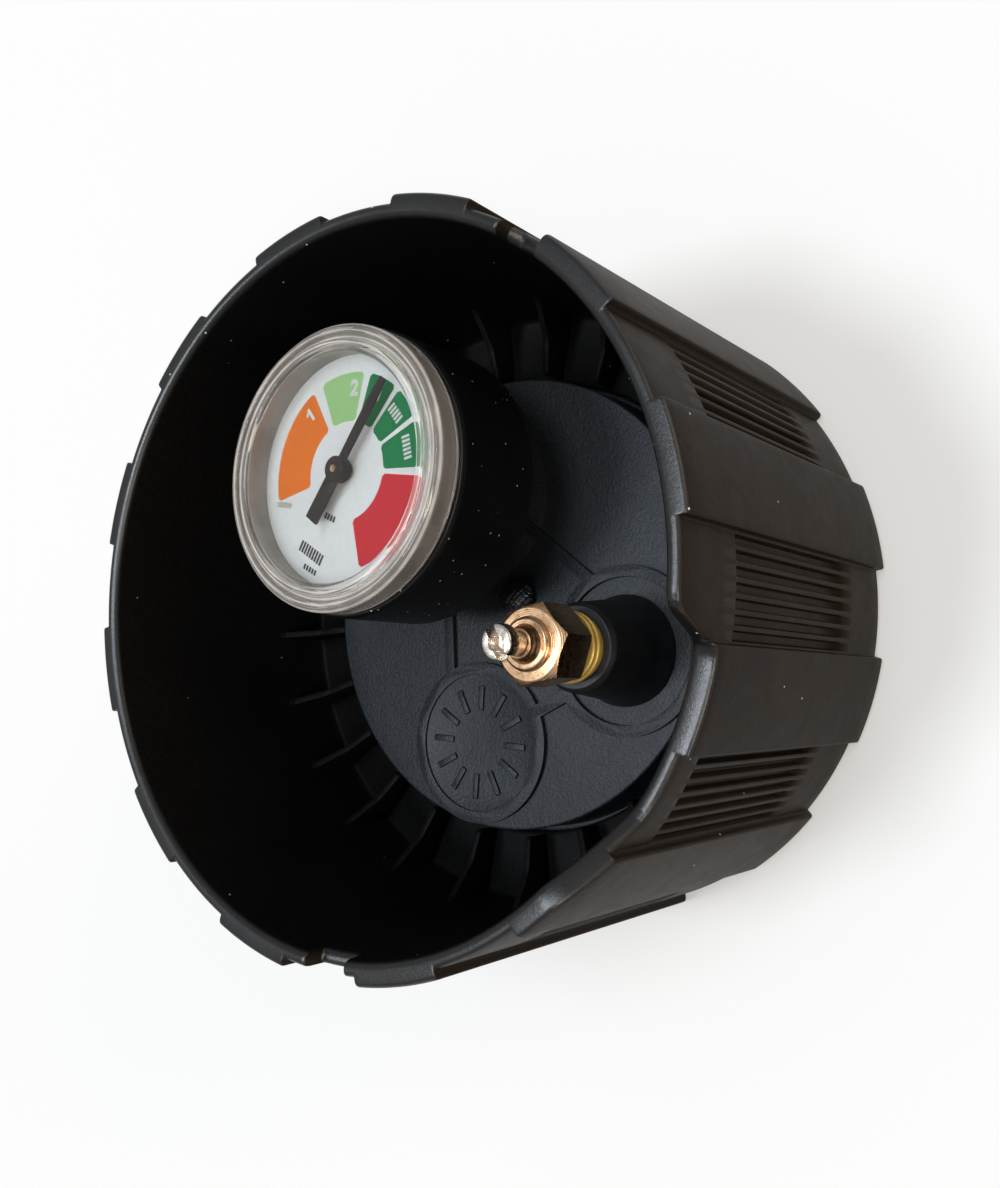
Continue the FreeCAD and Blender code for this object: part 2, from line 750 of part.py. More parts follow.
def movement():
    thickness = get("plate_thickness")
    back, front = get("socket_top"), movement_front()
    holes = [(0.0, 0.0), sector_pivot()]
    for label, low in (("movement_back_plate", back), ("movement_front_plate", front)):
        plate = prism(PLATE_OUTLINE, low, low + thickness)
        if low == front:
            stud = get("hairspring_under")
            plate = plate.fuse(code_disc(0.4, stud, front + 0.1, 3.45, 0.0))
        for x, y in holes:
            plate = plate.cut(code_disc(get("arbor_radius") + 0.06, low - 6, low + 2, x, y))
        for x, y in PILLARS:
            plate = plate.cut(code_disc(0.6, low - 1, low + 2, x, y))
        if low == back:
            for x, y in PLATE_SCREWS:
                plate = plate.cut(code_disc(0.7, low - 1, low + 2, x, y))
        coded(label, plate.removeSplitter(), "gauge_x", "gauge_y", "gauge_turn")
    pillars, screws = [], []
    for x, y in PILLARS:
        pillar = code_disc(1.0, back + thickness, front, x, y).fuse(code_disc(0.6, back, back + thickness, x, y))
        pillars.append(pillar.cut(code_disc(0.6, front - 2.2, front + 1, x, y)))
        screws.append(slotted_screw(x, y, front + thickness, 1.2, 0.6, thickness + 2.0))
    for x, y in PLATE_SCREWS:
        screws.append(slotted_screw(x, y, back + thickness, 1.1, 0.6, thickness + 2.0))
    coded("movement_pillars", Part.makeCompound(pillars), "gauge_x", "gauge_y", "gauge_turn")
    coded("movement_screws", Part.makeCompound(screws), "gauge_x", "gauge_y", "gauge_turn")


def slotted_screw(x, y, seat, head_radius, shank_radius, shank_length, head=0.8):
    screw = code_disc(head_radius, seat, seat + head, x, y).fuse(
        code_disc(shank_radius, seat - shank_length, seat, x, y))
    slot = Part.makeBox(4, 0.3, 0.4, Vector(x - 2, y - 0.15, seat + head - 0.35))
    return screw.cut(slot)


def hairspring():
    """A flat spiral of half-turn arcs, anchored on the front plate's stud."""
    low, growth, strip, half_turns = get("hairspring_under"), 0.3, 0.12, 7

    def spiral(offset):
        edges = []
        for number in range(half_turns):
            radius = 0.85 + number * growth / 2 + offset
            centre = (growth / 4 if number % 2 else -growth / 4) + 0.0
            start, sweep = (0, 180) if number % 2 == 0 else (180, 360)
            edges.append(Part.makeCircle(radius, Vector(centre, 0, low), Vector(0, 0, 1), start, sweep))
        return edges

    outside, inside = spiral(strip / 2), spiral(-strip / 2)
    closing = []
    for edge_out, edge_in, index in ((outside[0], inside[0], 0), (outside[-1], inside[-1], -1)):
        closing.append(Part.makeLine(edge_in.Vertexes[index].Point, edge_out.Vertexes[index].Point))
    wire = Part.Wire(Part.__sortEdges__(outside + inside + closing))
    coded("hairspring", Part.Face(wire).extrude(Vector(0, 0, 0.5)), "gauge_x", "gauge_y", "gauge_turn")


def gauge_socket():
    body = gauge_body("gauge_socket")
    disc(body, "stem", "gauge_stem_radius", "stem_under", "gauge_boss_top + 0.5")
    hexagon(body, "spanner_flats", "socket_flats", "gauge_boss_top", "case_back - 0.1")
    disc(body, "neck", "6.1", "case_back - 0.5", "case_floor + 0.5")
    raised(body, "block", [box_loop("-5", "5", "-17", "6")], "case_floor", "socket_top")
    seat = box_loop("tube_inner_radius", "tube_inner_radius + tube_thickness",
                    "tube_under", "tube_under + tube_height")
    turned(body, "tube_seat", [seat], True, "12", "tube_root_angle - 6")
    disc(body, "bore", "1.5", "stem_under - 1", "44.2", cutting=True)
    for side in (-1, 1):
        disc(body, f"screw_hole_{side + 1}", "1.25", "case_floor - 1", "43.8", f"{side} * 3.2", "-13", True)
    for number, (x, y) in enumerate(PLATE_SCREWS):
        disc(body, f"plate_screw_hole_{number}", "0.6", "socket_top - 2", "socket_top + 1",
             str(x), str(y), True)


def case_screws():
    screws = []
    for side in (-1, 1):
        screw = slotted_screw(0, 0, 0, 2.2, 1.25, get("case_floor") - get("case_back") + 3.2, 1.4)
        screw.rotate(Vector(), Vector(1, 0, 0), 180)
        screw.translate(Vector(side * 3.2, -13, get("case_back")))
        screws.append(screw)
    coded("case_screws", Part.makeCompound(screws), "gauge_x", "gauge_y", "gauge_turn")


def gauge_washer():
    body = gauge_body("gauge_washer")
    ring = box_loop("gauge_stem_radius + 0.1", "stem_washer_radius - 0.1", "stem_washer_under", "gauge_boss_top")
    turned(body, "ring", [ring])


def gauge_nut():
    body = gauge_body("gauge_nut")
    hexagon(body, "nut", "nut_flats", "nut_under", "nut_top")
    disc(body, "bore", "gauge_stem_radius", "nut_under - 1", "nut_top + 1", cutting=True)
    flats = "nut_flats / 2"
    corner = [(f"{flats} + 0.1", "nut_under - 0.1"), (f"{flats} + 2.1", "nut_under + 1.1"),
              (f"{flats} + 2.1", "nut_under - 0.1")]
    turned(body, "chamfer", [corner], True)


# ---------------------------------------------------------------- valve


def valve_rubber():
    """Snap-in rubber valve: a bulb under the lid, a waist through it and a tapered tower above."""
    body = valve_body("valve_rubber")
    section = [
        ("stem_rubber_radius", "19.5"),
        ("8.6", "19.5"),
        ("9.4", "20.3"),
        ("9.4", "22.6"),
        ("8.6", "lid_plate_under"),
        ("valve_hole_radius", "lid_plate_under"),
        ("valve_hole_radius", "valve_floor"),
        ("8.2", "valve_floor"),
        ("8.2", "valve_floor + 0.9"),
        ("7.4", "valve_floor + 3.2"),
        ("6.3", "rubber_top - 0.8"),
        ("5.7", "rubber_top"),
        ("stem_rubber_radius", "rubber_top"),
    ]
    turned(body, "tower", [section])


def valve_stem():
    body = valve_body("valve_stem")
    section = [
        ("1.5", "19"),
        ("stem_rubber_radius", "19"),
        ("stem_rubber_radius", "rubber_top"),
        ("stem_flange_radius", "rubber_top"),
        ("stem_flange_radius", "rubber_top + 0.6"),
        ("stem_thread_radius", "rubber_top + 0.6"),
        ("stem_thread_radius", "stem_top - 0.5"),
        ("stem_thread_radius - 0.5", "stem_top"),
        ("core_bore", "stem_top"),
        ("core_bore", "core_seat"),
        ("2.2", "core_seat"),
        ("2.2", "30"),
        ("1.5", "30"),
    ]
    turned(body, "stem", [section])


def valve_core():
    barrel = valve_body("core_barrel")
    section = box_loop("core_pin_radius + 0.08", "core_bore - 0.05", "core_seat", "stem_top - 1.2")
    turned(barrel, "barrel", [section])
    pin = valve_body("core_pin")
    disc(pin, "rod", "core_pin_radius", "33", "stem_top - 0.3")
    disc(pin, "plate", "1.9", "core_seat - 1.4", "core_seat - 0.8")
    seal = valve_body("core_seal")
    turned(seal, "ring", [box_loop("core_pin_radius", "1.9", "core_seat - 0.8", "core_seat")])
    spring = valve_body("core_spring")
    sketch = sketch_loops(spring, "wire_outline", "XZ_Plane", [box_loop(
        "spring_coil - spring_wire", "spring_coil + spring_wire", "spring_low", "spring_low + 2 * spring_wire")])
    coil = spring.newObject("PartDesign::AdditiveHelix", "coil")
    coil.Profile = sketch
    coil.ReferenceAxis = (sketch, ["V_Axis"])
    coil.Mode = 0
    rise = "core_seat - 1.4 - spring_low - 2 * spring_wire"
    bind(coil, Pitch=f"({rise}) / spring_turns", Height=rise)
    tip_check(spring, coil, 0.0, False)


def valve_cap():
    body = valve_body("valve_cap")
    disc(body, "skirt", "cap_skirt_radius", "cap_under", "cap_hex_under + 1")
    hexagon(body, "flats", "cap_flats", "cap_hex_under", "cap_face", "cap_hex_turn")
    corner = [("cap_flats / 2", "cap_face + 0.1"), ("cap_flats / 2 + 1.5", "cap_face - 0.8"),
              ("cap_flats / 2 + 1.5", "cap_face + 0.1")]
    turned(body, "chamfer", [corner], True)
    nose = [
        ("0", "cap_face - 1"),
        ("3.6", "cap_face - 1"),
        ("3.6", "cap_face + 0.5"),
        ("3.2", "cap_face + 0.9"),
        ("2.6", "cap_face + 0.9"),
        ("1.95", "cap_face + 2.4"),
        ("0", "cap_face + 2.4"),
    ]
    turned(body, "nose", [nose])
    rings = []
    for height in ("cap_under + 1.0", "cap_under + 2.2"):
        rings.append([("cap_skirt_radius - 0.35", height), ("cap_skirt_radius + 0.1", f"{height} - 0.35"),
                      ("cap_skirt_radius + 0.1", f"{height} + 0.35")])
    turned(body, "skirt_grooves", rings, True)
    disc(body, "bore", "cap_bore", "cap_under - 1", "cap_bore_top", cutting=True)
    disc(body, "key_hole", "key_shank_radius", "50", "cap_face + 4", cutting=True)
    seal = valve_body("cap_seal")
    disc(seal, "pad", "cap_bore - 0.1", "stem_top + 0.1", "cap_bore_top")


def core_key_tip():
    """The forked end that unscrews a valve core: two prongs either side of a slot."""
    body = valve_body("core_key_tip")
    section = [
        ("0", "50"),
        ("key_shank_radius", "50"),
        ("key_shank_radius", "key_top - 2.6"),
        ("key_fork_radius", "key_top - 2.1"),
        ("key_fork_radius", "key_top - 0.4"),
        ("key_fork_radius - 0.4", "key_top"),
        ("0", "key_top"),
    ]
    turned(body, "shank", [section])
    slot = box_loop("-3", "3", "-0.7", "0.7")
    raised(body, "slot", [slot], "key_top - 2.4", "key_top + 1", True, "30")
    disc(body, "tip_bore", "1.15", "key_top - 2.4", "key_top + 1", cutting=True)


# ---------------------------------------------------------------- build, check and write

for build in (grip_collar, inner_lid, lid_gasket, foot_sealant, gauge_case, gauge_lens, dial_plate,
              dial_stop_pin, pointer, pinion_shaft, sector_gear, link_bar, bourdon_tube, movement,
              hairspring, gauge_socket, case_screws, gauge_washer, gauge_nut, valve_rubber, valve_stem,
              valve_core, valve_cap, core_key_tip):
    build()

document.recompute()
for item in document.Objects:
    if {"Invalid", "Error"} & set(item.State):
        raise RuntimeError(f"{item.Label} failed: {item.State}")
for part in subparts:
    if part.Shape.isNull() or not part.Shape.isValid():
        raise RuntimeError(f"{part.Label} has no valid shape")

os.makedirs("parts", exist_ok=True)
for part in subparts:
    part.Shape.exportStep(os.path.join("parts", part.Label + ".step"))
print(f"{len(subparts)} sub-parts written")
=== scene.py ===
import bisect
import math

import bmesh
import bpy
from mathutils import Matrix, Vector


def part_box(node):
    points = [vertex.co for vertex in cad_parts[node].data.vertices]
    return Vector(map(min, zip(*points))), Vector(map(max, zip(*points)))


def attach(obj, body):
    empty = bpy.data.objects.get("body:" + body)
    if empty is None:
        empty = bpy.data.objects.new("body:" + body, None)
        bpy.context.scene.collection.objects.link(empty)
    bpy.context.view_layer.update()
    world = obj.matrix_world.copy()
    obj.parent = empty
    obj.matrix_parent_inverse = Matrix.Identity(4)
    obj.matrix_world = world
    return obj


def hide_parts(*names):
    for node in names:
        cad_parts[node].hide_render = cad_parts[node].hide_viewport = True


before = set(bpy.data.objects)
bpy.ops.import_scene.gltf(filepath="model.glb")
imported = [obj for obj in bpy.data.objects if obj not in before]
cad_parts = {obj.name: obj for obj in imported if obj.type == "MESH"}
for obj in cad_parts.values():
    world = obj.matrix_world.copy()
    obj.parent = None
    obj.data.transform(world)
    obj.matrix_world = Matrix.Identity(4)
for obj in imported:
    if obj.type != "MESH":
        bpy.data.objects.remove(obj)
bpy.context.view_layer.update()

# A ball pressuriser's cap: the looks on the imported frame. Sizes and heights below are in millimetres
# and become metres as each mesh is made. +Z points out of the cup's mouth.

MM = 0.001


def centre_mm(node):
    low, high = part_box(node)
    return ((low.x + high.x) / 2 / MM, (low.y + high.y) / 2 / MM)


def heights_mm(node):
    low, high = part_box(node)
    return low.z / MM, high.z / MM


HEIGHT = heights_mm("grip_collar")[1]
LID_TOP = 27.0
RELIEF_TOP = 27.8
EMBLEM = (-22.5, 3.3)
GAUGE = centre_mm("gauge_case")
GAUGE_TURN = -117.0  # degrees from +Y to the dial's 12 o'clock
DIAL_TOP = heights_mm("dial_plate")[1]
VALVE = centre_mm("valve_stem")
RUBBER_TOP = heights_mm("valve_rubber")[1]
CAP_UNDER = heights_mm("valve_cap")[0]
HEXAGON_UNDER = 45.3
CAP_FACE = 52.0

# ---------------------------------------------------------------- meshes


def table(pairs):
    """Straight-line interpolation through (x, y) pairs, held level beyond both ends, with its xs at hand."""
    xs = [x for x, _ in pairs]
    ys = [y for _, y in pairs]

    def value(x):
        if x <= xs[0]:
            return ys[0]
        if x >= xs[-1]:
            return ys[-1]
        i = bisect.bisect_right(xs, x)
        t = (x - xs[i - 1]) / (xs[i] - xs[i - 1])
        return ys[i - 1] + t * (ys[i] - ys[i - 1])

    value.xs = xs
    return value


def rounded(corners, steps=4):
    """A closed outline with its corners filleted: each corner is (x, y) or (x, y, radius)."""
    points = []
    count = len(corners)
    for i, corner in enumerate(corners):
        here = Vector(corner[:2])
        radius = corner[2] if len(corner) > 2 else 0.0
        back = Vector(corners[i - 1][:2]) - here
        ahead = Vector(corners[(i + 1) % count][:2]) - here
        if radius <= 0 or back.length < 1e-9 or ahead.length < 1e-9:
            points.append(here)
            continue
        half = back.angle(ahead) / 2
        reach = min(radius / math.tan(half), 0.49 * back.length, 0.49 * ahead.length)
        start = here + back.normalized() * reach
        end = here + ahead.normalized() * reach
        for step in range(steps + 1):
            t = step / steps
            points.append((1 - t) ** 2 * start + 2 * t * (1 - t) * here + t ** 2 * end)
    return points


def add_object(name, mesh, body, material, replaces=(), sharp=40):
    item = bpy.data.objects.new(name, mesh)
    bpy.context.scene.collection.objects.link(item)
    for polygon in mesh.polygons:
        polygon.use_smooth = True
    mesh.set_sharp_from_angle(angle=math.radians(sharp))
    if material:
        mesh.materials.append(material)
    if body:
        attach(item, body)
    if replaces:
        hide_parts(*replaces)
    return item


def mesh_of(name, points, faces):
    mesh = bpy.data.meshes.new(name)
    mesh.from_pydata([Vector(p) * MM for p in points], [], faces)
    tidy = bmesh.new()
    tidy.from_mesh(mesh)
    bmesh.ops.remove_doubles(tidy, verts=tidy.verts, dist=1e-7)
    bmesh.ops.recalc_face_normals(tidy, faces=tidy.faces)
    tidy.to_mesh(mesh)
    tidy.free()
    return mesh


def lathe(name, outline, centre=(0, 0), segments=144):
    """A closed outline of (radius, height) turned about a vertical axis."""
    points, faces = [], []
    count = len(outline)
    for step in range(segments):
        angle = 2 * math.pi * step / segments
        across, along = math.cos(angle), math.sin(angle)
        points += [(centre[0] + r * across, centre[1] + r * along, height) for r, height in outline]
    for step in range(segments):
        following = (step + 1) % segments
        for i in range(count):
            j = (i + 1) % count
            faces.append((step * count + i, step * count + j, following * count + j, following * count + i))
    return mesh_of(name, points, faces)


def prism_mesh(name, outline, low, high):
    count = len(outline)
    points = [(x, y, low) for x, y in outline] + [(x, y, high) for x, y in outline]
    faces = [tuple(range(count - 1, -1, -1)), tuple(range(count, 2 * count))]
    for i in range(count):
        j = (i + 1) % count
        faces.append((i, j, count + j, count + i))
    return mesh_of(name, points, faces)


def joined(name, meshes):
    whole = bmesh.new()
    for mesh in meshes:
        whole.from_mesh(mesh)
    mesh = bpy.data.meshes.new(name)
    whole.to_mesh(mesh)
    whole.free()
    return mesh


def combined(base, others, operation):
    """The exact union, difference or intersection of a mesh with several others."""
    item = bpy.data.objects.new("work", base)
    bpy.context.scene.collection.objects.link(item)
    for other in others:
        tool = bpy.data.objects.new("tool", other)
        bpy.context.scene.collection.objects.link(tool)
        modifier = item.modifiers.new("cut", "BOOLEAN")
        modifier.operation = operation
        modifier.solver = "EXACT"
        modifier.object = tool
        graph = bpy.context.evaluated_depsgraph_get()
        result = bpy.data.meshes.new_from_object(item.evaluated_get(graph))
        item.modifiers.clear()
        item.data = result
        bpy.data.objects.remove(tool)
    result = item.data
    bpy.data.objects.remove(item)
    return result


def bevelled(mesh, width, segments=2, angle=30):
    """Round every edge sharper than the angle."""
    work = bmesh.new()
    work.from_mesh(mesh)
    bmesh.ops.remove_doubles(work, verts=work.verts, dist=2e-6)
    bmesh.ops.dissolve_limit(work, angle_limit=math.radians(0.8), verts=work.verts, edges=work.edges)
    sharp = [e for e in work.edges if len(e.link_faces) == 2 and e.calc_face_angle(0) > math.radians(angle)]
    bmesh.ops.bevel(work, geom=sharp, offset=width * MM, segments=segments, profile=0.5, affect="EDGES",
                    clamp_overlap=True)
    work.to_mesh(mesh)
    work.free()
    return mesh


def polar(radius, degrees, centre=(0, 0)):
    angle = math.radians(degrees)
    return centre[0] + radius * math.cos(angle), centre[1] + radius * math.sin(angle)


def bar(half_long, half_wide, centre=(0, 0), degrees=0):
    """A rectangle's four corners, its long side turned by an angle."""
    long, wide = Vector(polar(half_long, degrees)), Vector(polar(half_wide, degrees + 90))
    middle = Vector(centre)
    return [middle - long - wide, middle + long - wide, middle + long + wide, middle - long + wide]


# ---------------------------------------------------------------- materials


class Tree:
    """A material's nodes: add returns a node, and the methods named for what they make return an output."""

    def __init__(self, name):
        self.material = bpy.data.materials.new(name)
        self.material.use_nodes = True
        self.nodes = self.material.node_tree.nodes
        self.links = self.material.node_tree.links
        self.shader = self.nodes["Principled BSDF"]
        self.place = self.add("ShaderNodeTexCoord").outputs["Object"]

    def add(self, kind, inputs=None, **settings):
        item = self.nodes.new(kind)
        for key, value in settings.items():
            setattr(item, key, value)
        for key, value in (inputs or {}).items():
            self.join(item.inputs[key], value)
        return item

    def join(self, socket, value):
        if isinstance(value, bpy.types.NodeSocket):
            self.links.new(value, socket)
        else:
            socket.default_value = value

    def noise(self, scale, detail=3.0, roughness=0.5, distortion=0.0):
        inputs = {"Scale": scale, "Detail": detail, "Roughness": roughness, "Distortion": distortion,
                  "Vector": self.place}
        return self.add("ShaderNodeTexNoise", inputs).outputs["Fac"]

    def range(self, value, low, high, to_low=0.0, to_high=1.0):
        inputs = {"Value": value, "From Min": low, "From Max": high, "To Min": to_low, "To Max": to_high}
        return self.add("ShaderNodeMapRange", inputs).outputs["Result"]

    def math(self, operation, a, b=0.0):
        item = self.add("ShaderNodeMath", {0: a, 1: b}, operation=operation)
        return item.outputs[0]

    def mix(self, factor, a, b):
        item = self.add("ShaderNodeMix", data_type="RGBA")
        self.join(item.inputs[0], factor)
        self.join(item.inputs[6], a if isinstance(a, bpy.types.NodeSocket) else (*a, 1.0))
        self.join(item.inputs[7], b if isinstance(b, bpy.types.NodeSocket) else (*b, 1.0))
        return item.outputs[2]

    def bump(self, height, strength, distance, normal=None):
        inputs = {"Height": height, "Strength": strength, "Distance": distance}
        if normal:
            inputs["Normal"] = normal
        return self.add("ShaderNodeBump", inputs).outputs["Normal"]

    def radius_from(self, centre):
        """Distance in metres from a vertical axis."""
        shift = (-centre[0] * MM, -centre[1] * MM, 0.0)
        moved = self.add("ShaderNodeVectorMath", {0: self.place, 1: shift}, operation="ADD")
        level = {0: moved.outputs[0], 1: (1.0, 1.0, 0.0)}
        flat = self.add("ShaderNodeVectorMath", level, operation="MULTIPLY")
        return self.add("ShaderNodeVectorMath", {0: flat.outputs[0]}, operation="LENGTH").outputs["Value"]

    def height(self):
        return self.add("ShaderNodeSeparateXYZ", {0: self.place}).outputs["Z"]

    def facing_up(self):
        """1 on faces that look up, 0 on walls."""
        normal = self.add("ShaderNodeTexCoord").outputs["Normal"]
        return self.range(self.add("ShaderNodeSeparateXYZ", {0: normal}).outputs["Z"], 0.2, 0.75)

    def finish(self, **inputs):
        for key, value in inputs.items():
            name = key.replace("_", " ")
            if isinstance(value, tuple) and len(value) == 3:
                value = (*value, 1.0)
            self.join(self.shader.inputs[name], value)
        return self.material


def specks(tree, scale, size, share):
    """Scattered dust: a small bright dot in a few of a Voronoi pattern's cells, picked at random."""
    cells = tree.add("ShaderNodeTexVoronoi", {"Scale": scale, "Vector": tree.place})
    dots = tree.range(cells.outputs["Distance"], size, size * 0.6)
    pick = tree.add("ShaderNodeSeparateColor", {0: cells.outputs["Color"]}).outputs[0]
    return tree.math("MULTIPLY", dots, tree.math("GREATER_THAN", pick, 1.0 - share))


def moulded_plastic(name, dark, light, gloss, grain_scale, grain, dust=0.0, shine=0.2, warm_lit_tone=None):
    """Black moulding with a fine spark texture. A browner tone, when given, is painted on the outside wall
    as painted warm light, its reflections tinted brown as painted warm reflection, and then the upward faces
    of the rim are smoother and shinier from use."""
    tree = Tree(name)
    clouds = tree.noise(45.0, 4.0, 0.6)
    smears = tree.noise(140.0, 3.0, 0.6, 1.5)
    colour = tree.mix(tree.range(clouds, 0.3, 0.7), dark, light)
    if warm_lit_tone:
        rim = tree.math("MULTIPLY", tree.range(tree.height(), 50 * MM, 53 * MM), tree.facing_up())
        outside = tree.range(tree.radius_from((0, 0)), 48.9 * MM, 49.3 * MM)
        outside = tree.math("MULTIPLY", outside, tree.math("SUBTRACT", 1.0, rim))
        # Painted warm light: a browner tone on the outside wall, though not on the rim's upward faces.
        tone = tree.mix(tree.range(clouds, 0.3, 0.7), warm_lit_tone, tuple(1.3 * c for c in warm_lit_tone))
        colour = tree.mix(outside, colour, tone)
        # Painted warm reflection: the outside wall's reflections are tinted brown.
        tree.join(tree.shader.inputs["Specular Tint"], tree.mix(outside, (1.0, 1.0, 1.0), (1.0, 0.8, 0.62)))
    scuffs = tree.range(tree.noise(900.0, 6.0, 0.75), 0.66, 0.78, 0.0, 0.25)
    colour = tree.mix(scuffs, colour, tuple(3.0 * c for c in light))
    rough = tree.range(smears, 0.3, 0.75, gloss, gloss + 0.07)
    fine = tree.noise(grain_scale, 5.0, 0.65)
    colour = tree.mix(tree.range(fine, 0.36, 0.58, 0.5, 0.0), colour, (0.0, 0.0, 0.0))
    wave = tree.noise(180.0, 2.0)
    normal = tree.bump(wave, 0.05, 0.0004)
    normal = tree.bump(fine, grain, 0.00012, normal)
    if warm_lit_tone:
        shine = tree.range(rim, 0.0, 1.0, shine, 0.65)
        rough = tree.math("SUBTRACT", rough, tree.math("MULTIPLY", rim, 0.12))
    if dust:
        mask = specks(tree, 700.0, 0.12, dust)
        colour = tree.mix(mask, colour, (0.55, 0.56, 0.58))
    return tree.finish(Base_Color=colour, Roughness=rough, Normal=normal, Specular_IOR_Level=shine)


def rubber(name, base):
    tree = Tree(name)
    bloom = tree.range(tree.noise(260.0, 5.0, 0.7), 0.35, 0.75)
    colour = tree.mix(bloom, base, tuple(1.9 * c for c in base))
    normal = tree.bump(tree.noise(3200.0, 4.0, 0.6), 0.22, 0.0001)
    rough = tree.range(bloom, 0.0, 1.0, 0.42, 0.6)
    return tree.finish(Base_Color=colour, Roughness=rough, Normal=normal)


def turned_metal(name, dark, light, gloss, centre, ring=0.35, metallic=1.0):
    """Metal off a lathe: fine rings about its axis, tarnish in patches."""
    tree = Tree(name)
    radius = tree.radius_from(centre)
    wobble = tree.noise(300.0, 2.0)
    phase = tree.math("ADD", tree.math("MULTIPLY", radius, 24000.0), tree.math("MULTIPLY", wobble, 6.0))
    rings = tree.math("SINE", phase)
    tarnish = tree.noise(420.0, 5.0, 0.65, 0.8)
    colour = tree.mix(tree.range(tarnish, 0.3, 0.72), light, dark)
    rough = tree.range(tree.noise(1500.0, 4.0), 0.3, 0.7, gloss, gloss + 0.14)
    normal = tree.bump(rings, ring, 0.00004)
    normal = tree.bump(tree.noise(2600.0, 4.0), 0.15, 0.00005, normal)
    return tree.finish(Base_Color=colour, Roughness=rough, Normal=normal, Metallic=metallic)


def printed(name, colour, gloss=0.7):
    tree = Tree(name)
    grain = tree.noise(2600.0, 4.0, 0.6)
    tone = tree.mix(tree.range(grain, 0.3, 0.7), colour, tuple(0.9 * c for c in colour))
    normal = tree.bump(grain, 0.05, 0.00004)
    rough = tree.range(tree.noise(500.0, 3.0), 0.3, 0.7, gloss, gloss + 0.12)
    return tree.finish(Base_Color=tone, Roughness=rough, Normal=normal, Specular_IOR_Level=0.15)


def clear_plastic(name, centre, ring_start):
    """Clear moulding whose thick outer ring is milky in fine concentric bands and streaks: a pale diffuse
    haze, partly its own cloudiness and partly painted reflection of bright light.
    """
    tree = Tree(name)
    radius = tree.radius_from(centre)
    # Painted reflection, in part: the pale diffuse haze in bands and streaks on the outer ring stands in for
    # bright light that the clear ring reflects, as well as for its own cloudiness.
    bands = tree.math("SINE", tree.math("MULTIPLY", radius, 7200.0))
    ring = tree.range(radius, ring_start * MM, (ring_start + 0.25) * MM)
    streaks = tree.range(tree.noise(150.0, 3.0), 0.35, 0.65, 0.6, 1.0)
    haze_and_reflection_share = tree.math("MULTIPLY", tree.math("MULTIPLY", ring, streaks),
                           tree.range(bands, 0.0, 1.0, 0.16, 0.52))
    scratches = tree.noise(800.0, 6.0, 0.7, 2.0)
    normal = tree.bump(scratches, 0.05, 0.00005)
    rough = tree.range(scratches, 0.4, 0.8, 0.02, 0.12)
    clear = tree.finish(Base_Color=(0.97, 0.985, 0.98), Roughness=rough, Normal=normal, IOR=1.47,
                        Transmission_Weight=1.0)
    haze_and_reflection = tree.add("ShaderNodeBsdfDiffuse", {"Color": (0.92, 0.84, 0.77, 1.0)})
    mixed = tree.add("ShaderNodeMixShader", {0: haze_and_reflection_share, 1: tree.shader.outputs[0], 2: haze_and_reflection.outputs[0]})
    output = next(n for n in tree.nodes if n.type == "OUTPUT_MATERIAL")
    tree.links.new(mixed.outputs[0], output.inputs["Surface"])
    return clear


# The collar's outside wall takes the browner tone as painted warm light.
COLLAR_BLACK = moulded_plastic("collar_black", (0.005, 0.0048, 0.0048), (0.0075, 0.0072, 0.0072), 0.42,
                               2600.0, 0.3, dust=0.025, shine=0.05, warm_lit_tone=(0.0105, 0.006, 0.003))
LID_BLACK = moulded_plastic("lid_black", (0.0125, 0.0155, 0.019), (0.019, 0.0225, 0.027), 0.4, 2200.0, 1.0,
                            shine=0.35)
CASE_BLACK = moulded_plastic("case_black", (0.005, 0.005, 0.0055), (0.008, 0.008, 0.0085), 0.34, 3000.0, 0.16,
                             dust=0.3, shine=0.25)
VALVE_RUBBER = rubber("valve_rubber_black", (0.0085, 0.0085, 0.009))
SEALANT = moulded_plastic("sealant_black", (0.02, 0.021, 0.024), (0.045, 0.05, 0.056), 0.2, 900.0, 0.8,
                          shine=0.6)
CAP_BRASS = turned_metal("cap_brass", (0.6, 0.33, 0.16), (0.86, 0.58, 0.36), 0.24, VALVE, 0.22)
CAP_GOLD = turned_metal("cap_gold", (0.95, 0.6, 0.12), (1.0, 0.74, 0.22), 0.34, VALVE, 0.2, 0.3)
STEM_BRASS = turned_metal("stem_brass", (0.88, 0.56, 0.12), (1.0, 0.74, 0.26), 0.3, VALVE, 0.35, 0.5)
SOCKET_BRASS = turned_metal("socket_brass", (0.55, 0.36, 0.14), (0.86, 0.64, 0.32), 0.2, GAUGE)
NICKEL = turned_metal("tip_nickel", (0.7, 0.6, 0.5), (0.93, 0.88, 0.82), 0.2, VALVE, 0.15)
STEEL = turned_metal("bright_steel", (0.45, 0.45, 0.45), (0.68, 0.68, 0.69), 0.22, GAUGE)
LENS = clear_plastic("lens_clear", GAUGE, 16.9)
DIAL_WHITE = printed("dial_white", (0.9, 0.9, 0.89))
PRINT = {
    "orange": printed("print_orange", (0.95, 0.2, 0.003)),
    "pale_green": printed("print_pale_green", (0.38, 0.66, 0.26)),
    "green": printed("print_green", (0.0, 0.22, 0.065)),
    "red": printed("print_red", (0.72, 0.02, 0.035)),
    "black": printed("print_black", (0.05, 0.05, 0.052)),
    "white": printed("print_white", (0.8, 0.8, 0.78)),
}
POINTER_BLACK = printed("pointer_black", (0.03, 0.02, 0.015), 0.3)

# ---------------------------------------------------------------- grip collar

PANEL_R, WALL_R, FLUTE_R = 51.5, 50.3, 49.3
HALF_RECESS = math.radians(7.5) * WALL_R
FLUTE_PITCH = 1.88
RECESS_CENTRE = 1.5

